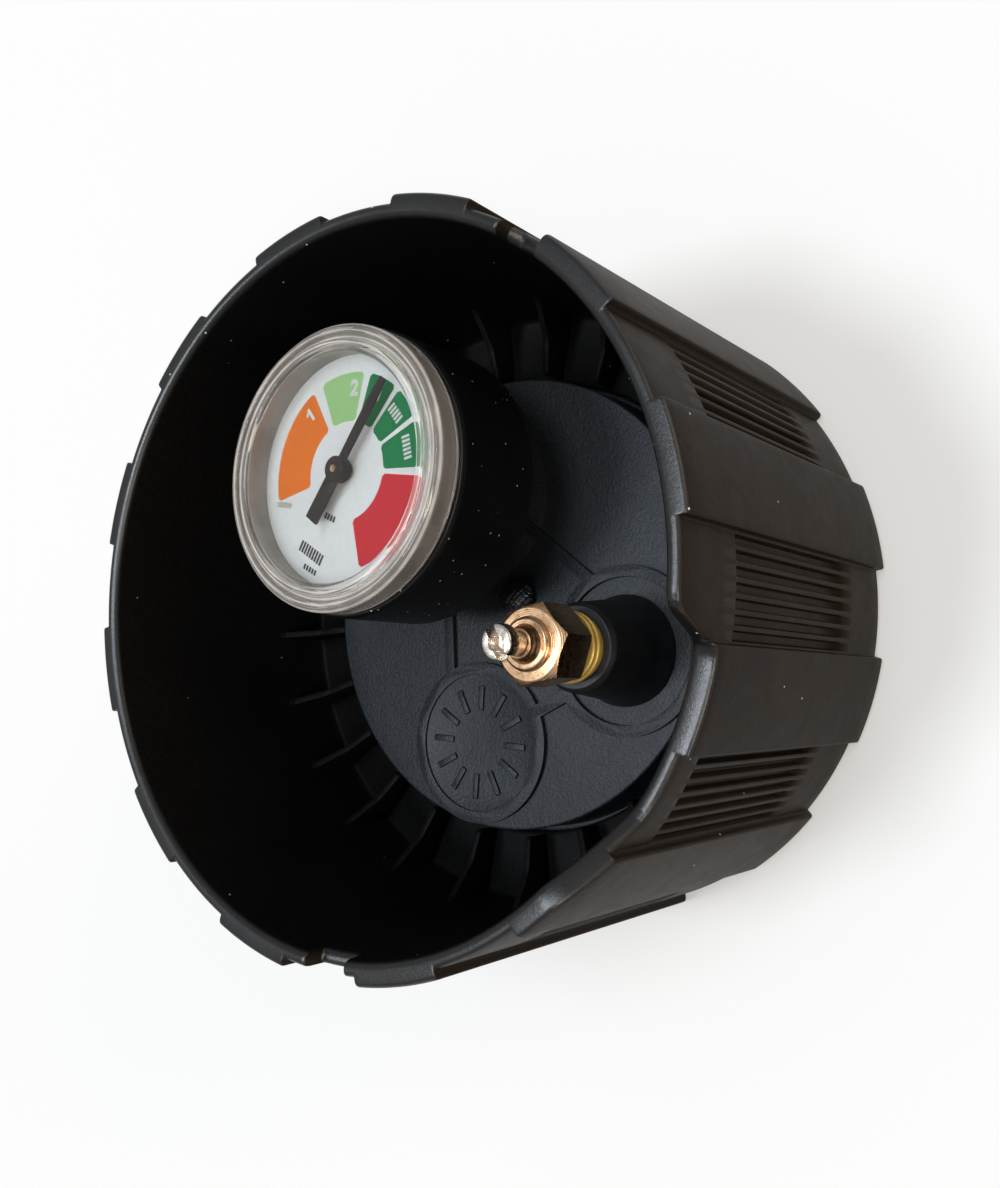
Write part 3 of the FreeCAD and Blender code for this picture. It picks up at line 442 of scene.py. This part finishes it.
# Rise from a recess to its panel, by distance past the recess's edge.
step_up = table([(-0.5, 0.0), (-0.16, 0.02), (-0.05, 0.14), (0.03, 0.95), (0.13, 1.13),
                 (0.38, PANEL_R - WALL_R)])
# Share of a flute's depth, by distance from its middle, and by height.
flute_wall = table([(0.44, 1.0), (0.53, 0.9), (0.6, 0.12), (0.7, 0.0)])
flute_ends = table([(15.9, 0.0), (16.2, 0.35), (17.3, 1.0), (50.55, 1.0), (50.85, 0.88), (50.98, 0.12),
                    (51.15, 0.0)])
# How far the rim drops, by distance along it from the middle of the cut-out or notch.
cutout_drop = table([(-20.0, 0.0), (-19.0, 0.03), (-18.2, 0.22), (-17.4, 0.62), (-16.6, 1.15), (-8.6, 7.25),
                     (-7.6, 7.9), (-6.6, 8.3), (-5.4, 8.47), (-4.4, 8.5), (11.6, 8.5), (12.8, 8.34),
                     (13.7, 7.9), (14.4, 7.15), (14.9, 6.2), (16.9, 1.5), (17.4, 0.75), (18.0, 0.28),
                     (18.8, 0.05), (19.6, 0.0)])
notch_drop = table([(-3.8, 0.0), (-3.62, 0.07), (-3.5, 0.3), (-3.44, 2.85), (-3.3, 3.12), (-3.0, 3.2),
                    (1.6, 3.75), (2.2, 3.7), (3.2, 2.7), (3.42, 2.45), (3.48, 0.3), (3.6, 0.07), (3.78, 0.0)])
CUTOUT_CENTRE = 247.5
NOTCH_CENTRES = (-31.75, 182.75)
RIM_R = 50.0  # where distances along the rim are measured
inner_radius = table([(21.0, 47.2), (HEIGHT - 0.9, 48.3)])
BORE_R, THREAD_START, THREAD_PITCH, THREAD_END = 46.0, 3.7, 6.0, 12.2
thread_depth = table([(-1.35, 0.0), (-1.2, 0.06), (-0.62, 1.04), (0.62, 1.04), (1.2, 0.06), (1.35, 0.0)])


def around_from(angle, centre):
    """Signed degrees from a centre direction, between -180 and 180."""
    return (angle - centre + 180) % 360 - 180


def rim_top(angle):
    """The rim's height, 2 um inside the CAD's box."""
    drop = 0.0
    away = around_from(angle, CUTOUT_CENTRE)
    if abs(away) < 30:
        drop = cutout_drop(RIM_R * math.sin(math.radians(away)))
    for centre in NOTCH_CENTRES:
        away = around_from(angle, centre)
        if abs(away) < 6:
            drop = max(drop, notch_drop(RIM_R * math.sin(math.radians(away))))
    return HEIGHT - 0.002 - drop


def along_recess(angle):
    offset = (angle - RECESS_CENTRE + 15) % 30 - 15
    return math.radians(offset) * WALL_R


def outer_radius(angle, height):
    along = along_recess(angle)
    radius = WALL_R + step_up(abs(along) - HALF_RECESS)
    ends = flute_ends(height)
    if ends > 0 and abs(along) < HALF_RECESS:
        nearest = max(-3, min(3, round(along / FLUTE_PITCH)))
        radius -= (WALL_R - FLUTE_R) * ends * flute_wall(abs(along - nearest * FLUTE_PITCH))
    return radius


def bore_radius(angle, height):
    """The jar thread: a groove that climbs and fades out below the ledge."""
    radius = BORE_R
    for turn in range(2):
        climb = THREAD_START + THREAD_PITCH * (angle / 360.0 + turn)
        if climb <= THREAD_END:
            fade = min(1.0, max(0.0, (THREAD_END - climb) / 0.6))
            radius = max(radius, BORE_R + fade * thread_depth(height - climb))
    return radius


def collar_angles():
    """The angles of the collar's sections: even steps, and one at each bend of a step, flute or notch."""
    angles = [1.5 * i for i in range(240)]
    for panel in range(12):
        middle = RECESS_CENTRE + 30 * panel
        offsets = []
        for side in (-1, 1):
            offsets += [side * (HALF_RECESS + past) for past in step_up.xs]
        for flute in range(-3, 4):
            offsets += [flute * FLUTE_PITCH + side * away for side in (-1, 1) for away in flute_wall.xs]
            offsets.append(flute * FLUTE_PITCH)
        angles += [middle + math.degrees(offset / WALL_R) for offset in offsets]
    angles += [CUTOUT_CENTRE + 0.5 * i for i in range(-48, 49)]
    for centre in NOTCH_CENTRES:
        for offset in notch_drop.xs:
            angles.append(centre + math.degrees(math.asin(offset / RIM_R)))
    angles = sorted(angle % 360 for angle in angles)
    kept = [angles[0]]
    for angle in angles[1:]:
        if angle - kept[-1] > 0.02:
            kept.append(angle)
    return kept


def collar_section(angle):
    """The collar's section at one angle: a closed loop of (radius, height)."""
    top = rim_top(angle)
    foot = outer_radius(angle, 0.0)
    loop = [(foot - 0.8, 0.0), (foot - 0.38, 0.1), (foot - 0.1, 0.38), (foot, 0.8)]
    levels = [4.0, 8.0, 12.0, 15.9, 16.2, 16.7, 17.3, 22.0, 28.0, 34.0, 40.0, 46.0, 50.55, 50.85, 50.98,
              51.15]
    loop += [(outer_radius(angle, z), z) for z in levels]
    wall = outer_radius(angle, HEIGHT)
    last = top - 0.75
    loop += [(wall, levels[-1] + (last - levels[-1]) * t) for t in (0.3, 0.65, 1.0)]
    loop += [(wall - r, top - z) for r, z in ((0.05, 0.45), (0.2, 0.2), (0.44, 0.05), (0.72, 0.0))]
    mouth = inner_radius(top)
    loop += [(mouth + r, top - z) for r, z in ((1.0, 0.0), (0.64, 0.08), (0.3, 0.32), (0.08, 0.68))]
    start = top - 1.15
    for i in range(9):
        z = start + (22.2 - start) * i / 8
        loop.append((inner_radius(z), z))
    loop += [(47.13, 21.5), (46.9, 21.15), (46.4, 21.0), (42.0, 21.0), (37.0, 21.0), (36.55, 20.86),
             (36.4, 20.5), (36.4, 18.4), (36.6, 18.0), (41.0, 18.0), (46.6, 18.0), (46.95, 17.8),
             (47.0, 17.4), (47.0, 13.0)]
    for i in range(33):
        z = 12.0 - 11.2 * i / 32
        loop.append((bore_radius(angle, z), z))
    loop.append((46.8, 0.0))
    return loop


def collar():
    angles = collar_angles()
    sections = [collar_section(angle) for angle in angles]
    count = len(sections[0])
    points, faces = [], []
    for angle, section in zip(angles, sections):
        for radius, height in section:
            points.append((*polar(radius, angle), height))
    for i in range(len(angles)):
        j = (i + 1) % len(angles)
        for k in range(count):
            m = (k + 1) % count
            faces.append((i * count + k, i * count + m, j * count + m, j * count + k))
    return add_object("collar_shell", mesh_of("collar_shell", points, faces), "collar", COLLAR_BLACK,
                      ["grip_collar"], sharp=55)


def gussets():
    """The webs between the collar's floor and its wall."""
    side = rounded([(36.8, 20.4), (36.8, 25.5, 0.8), (42.0, 26.6, 4.0), (47.0, 30.2, 1.0), (47.9, 31.8),
                    (47.9, 20.4)])
    webs = []
    for number in range(24):
        angle = math.radians(9 + 15 * number)
        out = Vector((math.cos(angle), math.sin(angle), 0))
        across = Vector((-math.sin(angle), math.cos(angle), 0))
        points, count = [], len(side)
        for half in (-0.55, 0.55):
            points += [out * r + across * half + Vector((0, 0, z)) for r, z in side]
        faces = [tuple(range(count - 1, -1, -1)), tuple(range(count, 2 * count))]
        faces += [(i, (i + 1) % count, count + (i + 1) % count, count + i) for i in range(count)]
        webs.append(bevelled(mesh_of("gusset", points, faces), 0.2, 2, 50))
    return add_object("collar_gussets", joined("collar_gussets", webs), "collar", COLLAR_BLACK)


# ---------------------------------------------------------------- inner lid


def lid():
    section = rounded([
        (0.0, 24.0), (23.8, 24.0), (23.8, 22.8, 0.2), (25.2, 22.8, 0.2), (25.2, 24.0), (32.8, 24.0, 0.5),
        (32.8, 15.0, 0.3), (38.0, 15.0, 0.2), (38.0, 16.3), (42.6, 16.3), (42.6, 15.0, 0.2),
        (46.6, 15.0, 0.4), (46.6, 17.8, 0.4), (35.6, 17.8, 0.3), (35.6, LID_TOP, 0.45), (0.0, LID_TOP)])
    plate = lathe("lid_plate", section)
    holes = [(GAUGE, 4.96), (VALVE, 5.7)]
    drills = [lathe("drill", [(0, 10), (r, 10), (r, 40), (0, 40)], c, 96) for c, r in holes]
    plate = combined(plate, drills, "DIFFERENCE")
    return add_object("lid_plate", plate, "lid", LID_BLACK, ["inner_lid"])


def disc_mesh(centre, radius, low, high, segments=128):
    return lathe("disc", [(0, low), (radius, low), (radius, high), (0, high)], centre, segments)


def lid_relief():
    """The raised ribs that outline the gauge's foot, the valve and the emblem's disc."""
    low = LID_TOP - 0.4
    ribs = [
        [(8, 11.35), (-12.5, 8.85), (-12.7, 10.6), (7.8, 13.1)],
        [(-12.7, -12.9), (-16.05, -6.75), (-17.8, -7.7), (-14.5, -13.5)],
        [(15.3, -0.6), (4.0, -16.9), (2.55, -15.9), (13.9, 0.4)],
    ]
    relief = disc_mesh(EMBLEM, 12.7, low, RELIEF_TOP)
    others = [prism_mesh("rib", rib, low, RELIEF_TOP) for rib in ribs]
    others += [disc_mesh(GAUGE, 15.0, low, 27.3), disc_mesh(VALVE, 12.6, low, RELIEF_TOP)]
    relief = combined(relief, others, "UNION")
    cuts = [disc_mesh(VALVE, 10.9, LID_TOP - 1, 30), disc_mesh(EMBLEM, 10.9, 27.4, 30),
            disc_mesh(GAUGE, 5.0, 20, 30)]
    relief = bevelled(combined(relief, cuts, "DIFFERENCE"), 0.1, 2)
    add_object("lid_relief", relief, "lid", LID_BLACK)
    rays = []
    for angle in range(0, 360, 30):
        outline = bar(2.0, 0.5, polar(7.0, angle, EMBLEM), angle)
        rays.append(bevelled(prism_mesh("ray", outline, 27.2, RELIEF_TOP), 0.15, 2))
    add_object("lid_emblem_rays", joined("rays", rays), "lid", LID_BLACK)
    boss = rounded([(5.0, 20.5, 0.2), (9.5, 20.5, 0.3), (9.5, 36.2, 0.5), (7.2, 36.2, 0.2), (7.2, 34.8),
                    (5.0, 34.8)])
    add_object("lid_gauge_boss", lathe("boss", boss, GAUGE), "lid", LID_BLACK)


def sealant():
    """A wrinkled lump of sealant squeezed out at the gauge's foot."""
    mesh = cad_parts["foot_sealant"].data.copy()
    mesh.materials.clear()
    work = bmesh.new()
    work.from_mesh(mesh)
    bmesh.ops.remove_doubles(work, verts=work.verts, dist=1e-6)
    low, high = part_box("foot_sealant")
    middle = (low + high) / 2
    for vert in work.verts:
        out = vert.co - middle
        ripple = math.sin(out.x * 5200 + 1.3) * math.sin(out.y * 6100)
        ripple += 0.6 * math.sin(out.x * 9000 - out.y * 7000)
        vert.co = middle + out * (0.9 + 0.09 * max(-1.0, min(1.0, ripple)))
    work.to_mesh(mesh)
    work.free()
    add_object("sealant_lump", mesh, "lid", SEALANT, ["foot_sealant"], sharp=80)


# ---------------------------------------------------------------- gauge


def gauge_housing():
    case = rounded([
        (6.2, 38.8), (20.3, 38.8, 0.5), (21.0, 39.6, 0.6), (21.0, 54.9, 0.4), (20.7, 55.6, 0.3), (19.1, 55.6),
        (19.1, 58.2, 0.25), (17.7, 58.2, 0.25), (17.7, 55.0), (16.9, 55.0), (16.9, 53.8), (19.4, 53.0),
        (19.4, 40.3), (6.2, 40.3)])
    add_object("gauge_case_shell", lathe("gauge_case_shell", case, GAUGE), "lid", CASE_BLACK, ["gauge_case"])
    lens = rounded([
        (0.0, 58.8), (17.3, 58.8, 0.1), (17.3, 55.7), (17.6, 55.7), (17.6, 58.8), (18.6, 58.8, 0.3),
        (19.2, 58.3, 0.2), (19.2, 55.8), (20.3, 55.8, 0.2), (20.5, 56.3, 0.2), (20.5, 59.3, 0.45),
        (19.9, 60.0, 0.3), (19.0, 60.05, 0.2), (18.85, 59.55, 0.15), (18.3, 59.55, 0.2), (18.1, 60.4, 0.35),
        (16.9, 60.4, 0.35), (16.5, 59.9, 0.3), (0.0, 59.9)])
    add_object("lens_cap", lathe("lens_cap", lens, GAUGE, 192), "lid", LENS, ["gauge_lens"])


def gauge_place(mesh):
    """Move a mesh made about the dial's centre, with 12 o'clock along +Y, to its place."""
    turn = Matrix.Rotation(math.radians(GAUGE_TURN), 4, "Z")
    mesh.transform(Matrix.Translation((GAUGE[0] * MM, GAUGE[1] * MM, 0)) @ turn)
    return mesh


def zone_outline(start, end, inner, outer, corner=0.45):
    """A slightly round-cornered piece of a ring, from one dial angle down to another."""
    spread = math.degrees(corner / outer)
    spread_in = math.degrees(corner / inner)
    points = []
    steps = max(4, int(abs(start - end) / 3))
    low, high = min(start, end), max(start, end)
    points += [polar(inner + corner, low + 90), polar(outer - corner, low + 90)]
    for i in range(steps + 1):
        points.append(polar(outer, low + spread + (high - low - 2 * spread) * i / steps + 90))
    points += [polar(outer - corner, high + 90), polar(inner + corner, high + 90)]
    for i in range(steps + 1):
        points.append(polar(inner, high - spread_in - (high - low - 2 * spread_in) * i / steps + 90))
    return points


def two_mesh(size):
    """A plain figure 2 lying flat about the origin."""
    curve = bpy.data.curves.new("two", "FONT")
    curve.body = "2"
    curve.size = size * MM
    curve.align_x = "CENTER"
    curve.align_y = "CENTER"
    curve.extrude = 0.02 * MM
    curve.offset = 0.13 * MM
    item = bpy.data.objects.new("two", curve)
    bpy.context.scene.collection.objects.link(item)
    graph = bpy.context.evaluated_depsgraph_get()
    mesh = bpy.data.meshes.new_from_object(item.evaluated_get(graph))
    bpy.data.objects.remove(item)
    mesh.materials.clear()
    return mesh


def numeral(mesh, angle, radius, name):
    """Put a flat figure on the dial, upright to the dial's edge."""
    x, y = polar(radius, angle + 90)
    turn = Matrix.Rotation(math.radians(angle), 4, "Z")
    mesh.transform(Matrix.Translation((x * MM, y * MM, (DIAL_TOP + 0.06) * MM)) @ turn)
    add_object(name, gauge_place(mesh), "lid", PRINT["white"])


def dial():
    section = rounded([(1.4, 55.0), (17.5, 55.0), (17.5, DIAL_TOP, 0.1), (1.4, DIAL_TOP, 0.1)])
    plate = lathe("dial_face", section, GAUGE)
    add_object("dial_face", plate, "lid", DIAL_WHITE, ["dial_plate"])
    # Colour, and the dial angles of both ends, anticlockwise from 12 o'clock.
    zones = [("orange", 133, 60), ("pale_green", 52, 17.5), ("green", 12, -9.5), ("green", -13, -32.5),
             ("green", -36, -63), ("red", -68, -137)]
    for number, (colour, start, end) in enumerate(zones):
        outline = zone_outline(start, end, 7.4, 14.65)
        mesh = prism_mesh("zone", outline, DIAL_TOP, DIAL_TOP + 0.03)
        add_object(f"dial_zone_{number}", gauge_place(mesh), "lid", PRINT[colour])
    one = [(-0.1, -1.12), (0.4, -1.12), (0.4, 1.12), (0.04, 1.12), (-0.24, 0.76), (-0.7, 0.52), (-0.7, 0.12),
           (-0.1, 0.4)]
    numeral(prism_mesh("one", one, 0.0, 0.04), 70, 12.2, "dial_number_1")
    numeral(two_mesh(3.2), 24, 12.2, "dial_number_2")
    # Colour, dial angle, radius, number of strokes and their height.
    rows = [("white", 2, 12.0, 3, 1.5), ("white", -22, 12.0, 5, 1.5), ("white", -49, 12.0, 6, 1.4),
            ("black", 180, 13.4, 9, 1.7), ("black", 184, 15.7, 5, 0.8), ("black", 186, 7.2, 4, 0.9)]
    for number, (colour, angle, radius, count, height) in enumerate(rows):
        mesh = strokes(angle, radius, count, height)
        add_object(f"dial_marks_{number}", mesh, "lid", PRINT[colour])


def strokes(angle, radius, count, height):
    """A row of plain upright strokes across the dial, where a word would be printed."""
    pitch, half_wide = 0.62, 0.19
    bars = []
    for number in range(count):
        outline = bar(half_wide, height / 2, ((number - (count - 1) / 2) * pitch, 0))
        bars.append(prism_mesh("stroke", outline, DIAL_TOP + 0.01, DIAL_TOP + 0.06))
    mesh = joined("strokes", bars)
    turn = Matrix.Rotation(math.radians(angle), 4, "Z")
    mesh.transform(turn @ Matrix.Translation((0, radius * MM, 0)))
    return gauge_place(mesh)


def pointer():
    low, high = 57.2, 57.7
    arm = [(-0.6, 14.8), (0.6, 14.8), (0.78, 10.8), (0.72, 1.0), (1.2, -1.0), (1.25, -8.6), (-1.25, -8.6),
           (-1.2, -1.0), (-0.72, 1.0), (-0.78, 10.8)]
    blade = bevelled(prism_mesh("blade", arm[::-1], low, high), 0.12, 2)
    hub = lathe("hub", rounded([(0.0, 56.3), (1.9, 56.3, 0.1), (1.9, 58.15, 0.25), (0.0, 58.15)]), (0, 0), 64)
    mesh = joined("needle", [blade, hub])
    mesh.transform(Matrix.Rotation(math.radians(-5.0), 4, "Z"))
    add_object("needle", gauge_place(mesh), "pointer", POINTER_BLACK, ["pointer"])


# ---------------------------------------------------------------- valve


def valve_tower():
    section = rounded([
        (3.0, 19.5), (8.6, 19.5, 0.5), (9.4, 20.3, 0.5), (9.4, 22.6, 0.8), (8.6, 24.0, 0.2), (5.7, 24.0),
        (5.7, LID_TOP), (8.2, LID_TOP), (8.2, 27.9, 0.4), (7.4, 30.5, 1.0), (6.3, RUBBER_TOP - 0.8, 0.6),
        (5.7, RUBBER_TOP, 0.3), (3.0, RUBBER_TOP)])
    add_object("valve_tower", lathe("valve_tower", section, VALVE), "lid", VALVE_RUBBER, ["valve_rubber"])


def cap_hexagon():
    """A hexagon 10 mm across flats, its corners turned away above and below."""
    low, high = HEXAGON_UNDER, CAP_FACE
    across = 10.0 / math.sqrt(3)
    prism = prism_mesh("hexagon", [polar(across, 60 * i - 14, VALVE) for i in range(6)], low, high)
    crown = rounded([(0.0, low), (5.45, low, 0.0), (5.8, low + 0.35), (5.8, high - 0.75), (4.75, high),
                     (0.0, high)])
    shape = combined(prism, [lathe("crown", crown, VALVE, 96)], "INTERSECT")
    shape = combined(shape, [disc_mesh(VALVE, 3.93, 40, 49.4)], "DIFFERENCE")
    return bevelled(shape, 0.13, 2)


def valve_cap():
    skirt = [(3.93, 0.0, 0.1), (4.95, 0.0, 0.25), (4.95, 0.65, 0.1), (4.6, 1.0, 0.15), (4.95, 1.35, 0.1),
             (4.95, 1.85, 0.1), (4.6, 2.2, 0.15), (4.95, 2.55, 0.1), (4.95, 3.7, 0.0), (3.93, 3.7, 0.0)]
    skirt = rounded([(radius, CAP_UNDER + up, corner) for radius, up, corner in skirt])
    nose = rounded([
        (1.6, CAP_FACE - 0.2), (3.6, CAP_FACE - 0.2), (3.6, 52.5, 0.15), (3.2, 52.9, 0.15), (2.6, 52.9, 0.15),
        (1.95, 54.4, 0.2), (1.6, 54.4, 0.05)])
    add_object("cap_skirt", lathe("cap_skirt", skirt, VALVE), "cap", CAP_GOLD)
    mesh = joined("cap_body", [cap_hexagon(), lathe("nose", nose, VALVE)])
    add_object("cap_body", mesh, "cap", CAP_BRASS, ["valve_cap"])


def key_tip():
    """The forked end that turns a valve core."""
    shank = rounded([(0.0, 50.5), (1.55, 50.5), (1.55, 56.6, 0.2), (2.35, 57.1, 0.3), (2.35, 59.2, 0.6),
                     (0.0, 59.2)])
    cuts = [prism_mesh("slot", bar(3.0, 0.7, VALVE, 30), 56.8, 60), disc_mesh(VALVE, 1.15, 56.8, 60, 48)]
    mesh = combined(lathe("shank", shank, VALVE, 72), cuts, "DIFFERENCE")
    add_object("key_tip", bevelled(mesh, 0.25, 3), "cap", NICKEL, ["core_key_tip"])


def carried_over():
    """Real materials on the CAD nodes whose own shape is kept."""
    metals = {
        "gauge_socket": SOCKET_BRASS, "gauge_nut": SOCKET_BRASS, "dial_stop_pin": PRINT["white"],
        "pinion_shaft": SOCKET_BRASS, "sector_gear": SOCKET_BRASS, "link_pin": SOCKET_BRASS,
        "link_bar": SOCKET_BRASS, "tube_tip_block": SOCKET_BRASS, "bourdon_tube": SOCKET_BRASS,
        "movement_back_plate": SOCKET_BRASS, "movement_front_plate": SOCKET_BRASS,
        "movement_pillars": SOCKET_BRASS, "valve_stem": STEM_BRASS, "core_barrel": STEM_BRASS,
        "core_pin": STEM_BRASS, "case_screws": STEEL, "movement_screws": STEEL, "sector_arbor": STEEL,
        "hairspring": STEEL, "core_spring": STEEL, "lid_gasket": VALVE_RUBBER, "gauge_washer": VALVE_RUBBER,
        "cap_seal": VALVE_RUBBER, "core_seal": VALVE_RUBBER,
    }
    for node, material in metals.items():
        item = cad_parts[node]
        for place in item.material_slots:
            place.material = material


# ---------------------------------------------------------------- stage


def floor():
    size, below = 3000.0, -0.4
    corners = [(-size, -size), (size, -size), (size, size), (-size, size)]
    mesh = prism_mesh("floor", corners, below - 5, below)
    tree = Tree("floor_paper")
    tone = tree.mix(tree.range(tree.noise(2.0, 3.0), 0.3, 0.7), (0.565, 0.555, 0.545), (0.585, 0.575, 0.565))
    material = tree.finish(Base_Color=tone, Roughness=0.95, Specular_IOR_Level=0.1,
                           Emission_Color=(1.0, 0.985, 0.965), Emission_Strength=0.24)
    add_object("floor", mesh, None, material)


def soft_sun(name, toward, spread, strength, colour):
    """An even, soft-edged light from one direction, as from a large distant window."""
    data = bpy.data.lights.new(name, "SUN")
    data.angle = math.radians(spread)
    data.energy = strength
    data.color = colour
    item = bpy.data.objects.new(name, data)
    bpy.context.scene.collection.objects.link(item)
    item.rotation_euler = Vector(toward).to_track_quat("Z", "Y").to_euler()


def lighting():
    soft_sun("window", (-0.12, 0.28, 0.955), 14, 1.5, (0.86, 0.93, 1.0))
    soft_sun("overhead", (0.12, -0.12, 0.98), 24, 1.2, (0.8, 0.91, 1.0))
    soft_sun("side", (0.6, -0.8, 0.3), 30, 0.6, (1.0, 0.82, 0.64))
    soft_sun("low_fill", (-0.28, -0.65, 0.7), 20, 1.0, (1.0, 0.86, 0.7))
    world = bpy.data.worlds.new("studio")
    bpy.context.scene.world = world
    world.use_nodes = True
    background = world.node_tree.nodes["Background"]
    background.inputs["Color"].default_value = (0.98, 0.99, 1.0, 1.0)
    background.inputs["Strength"].default_value = 0.34


# Place, lens and sensor in millimetres; azimuth, elevation and roll in degrees.
CAMERA_PLACE = (-7.15, -105.2, 170.3)
CAMERA_AZIMUTH = -4.50
CAMERA_ELEVATION = 53.30
CAMERA_ROLL = -82.91
CAMERA_LENS = 33.98
CAMERA_SENSOR = 36.0


def camera():
    azimuth, elevation = math.radians(CAMERA_AZIMUTH), math.radians(CAMERA_ELEVATION)
    back = Vector((math.sin(azimuth) * math.cos(elevation), -math.cos(azimuth) * math.cos(elevation),
                   math.sin(elevation)))
    level = Vector((0, 0, 1)).cross(back).normalized()
    upright = back.cross(level)
    roll = math.radians(CAMERA_ROLL)
    right = level * math.cos(roll) + upright * math.sin(roll)
    up = back.cross(right)
    data = bpy.data.cameras.new("camera")
    data.lens = CAMERA_LENS
    data.sensor_width = CAMERA_SENSOR
    data.clip_start = 0.005
    item = bpy.data.objects.new("camera", data)
    bpy.context.scene.collection.objects.link(item)
    turn = Matrix((right, up, back)).transposed().to_4x4()
    item.matrix_world = Matrix.Translation(Vector(CAMERA_PLACE) * MM) @ turn
    bpy.context.scene.camera = item


for build in (collar, gussets, lid, lid_relief, sealant, gauge_housing, dial, pointer, valve_tower, valve_cap,
              key_tip, carried_over, floor, lighting, camera):
    build()
bpy.context.scene.view_settings.view_transform = "Standard"
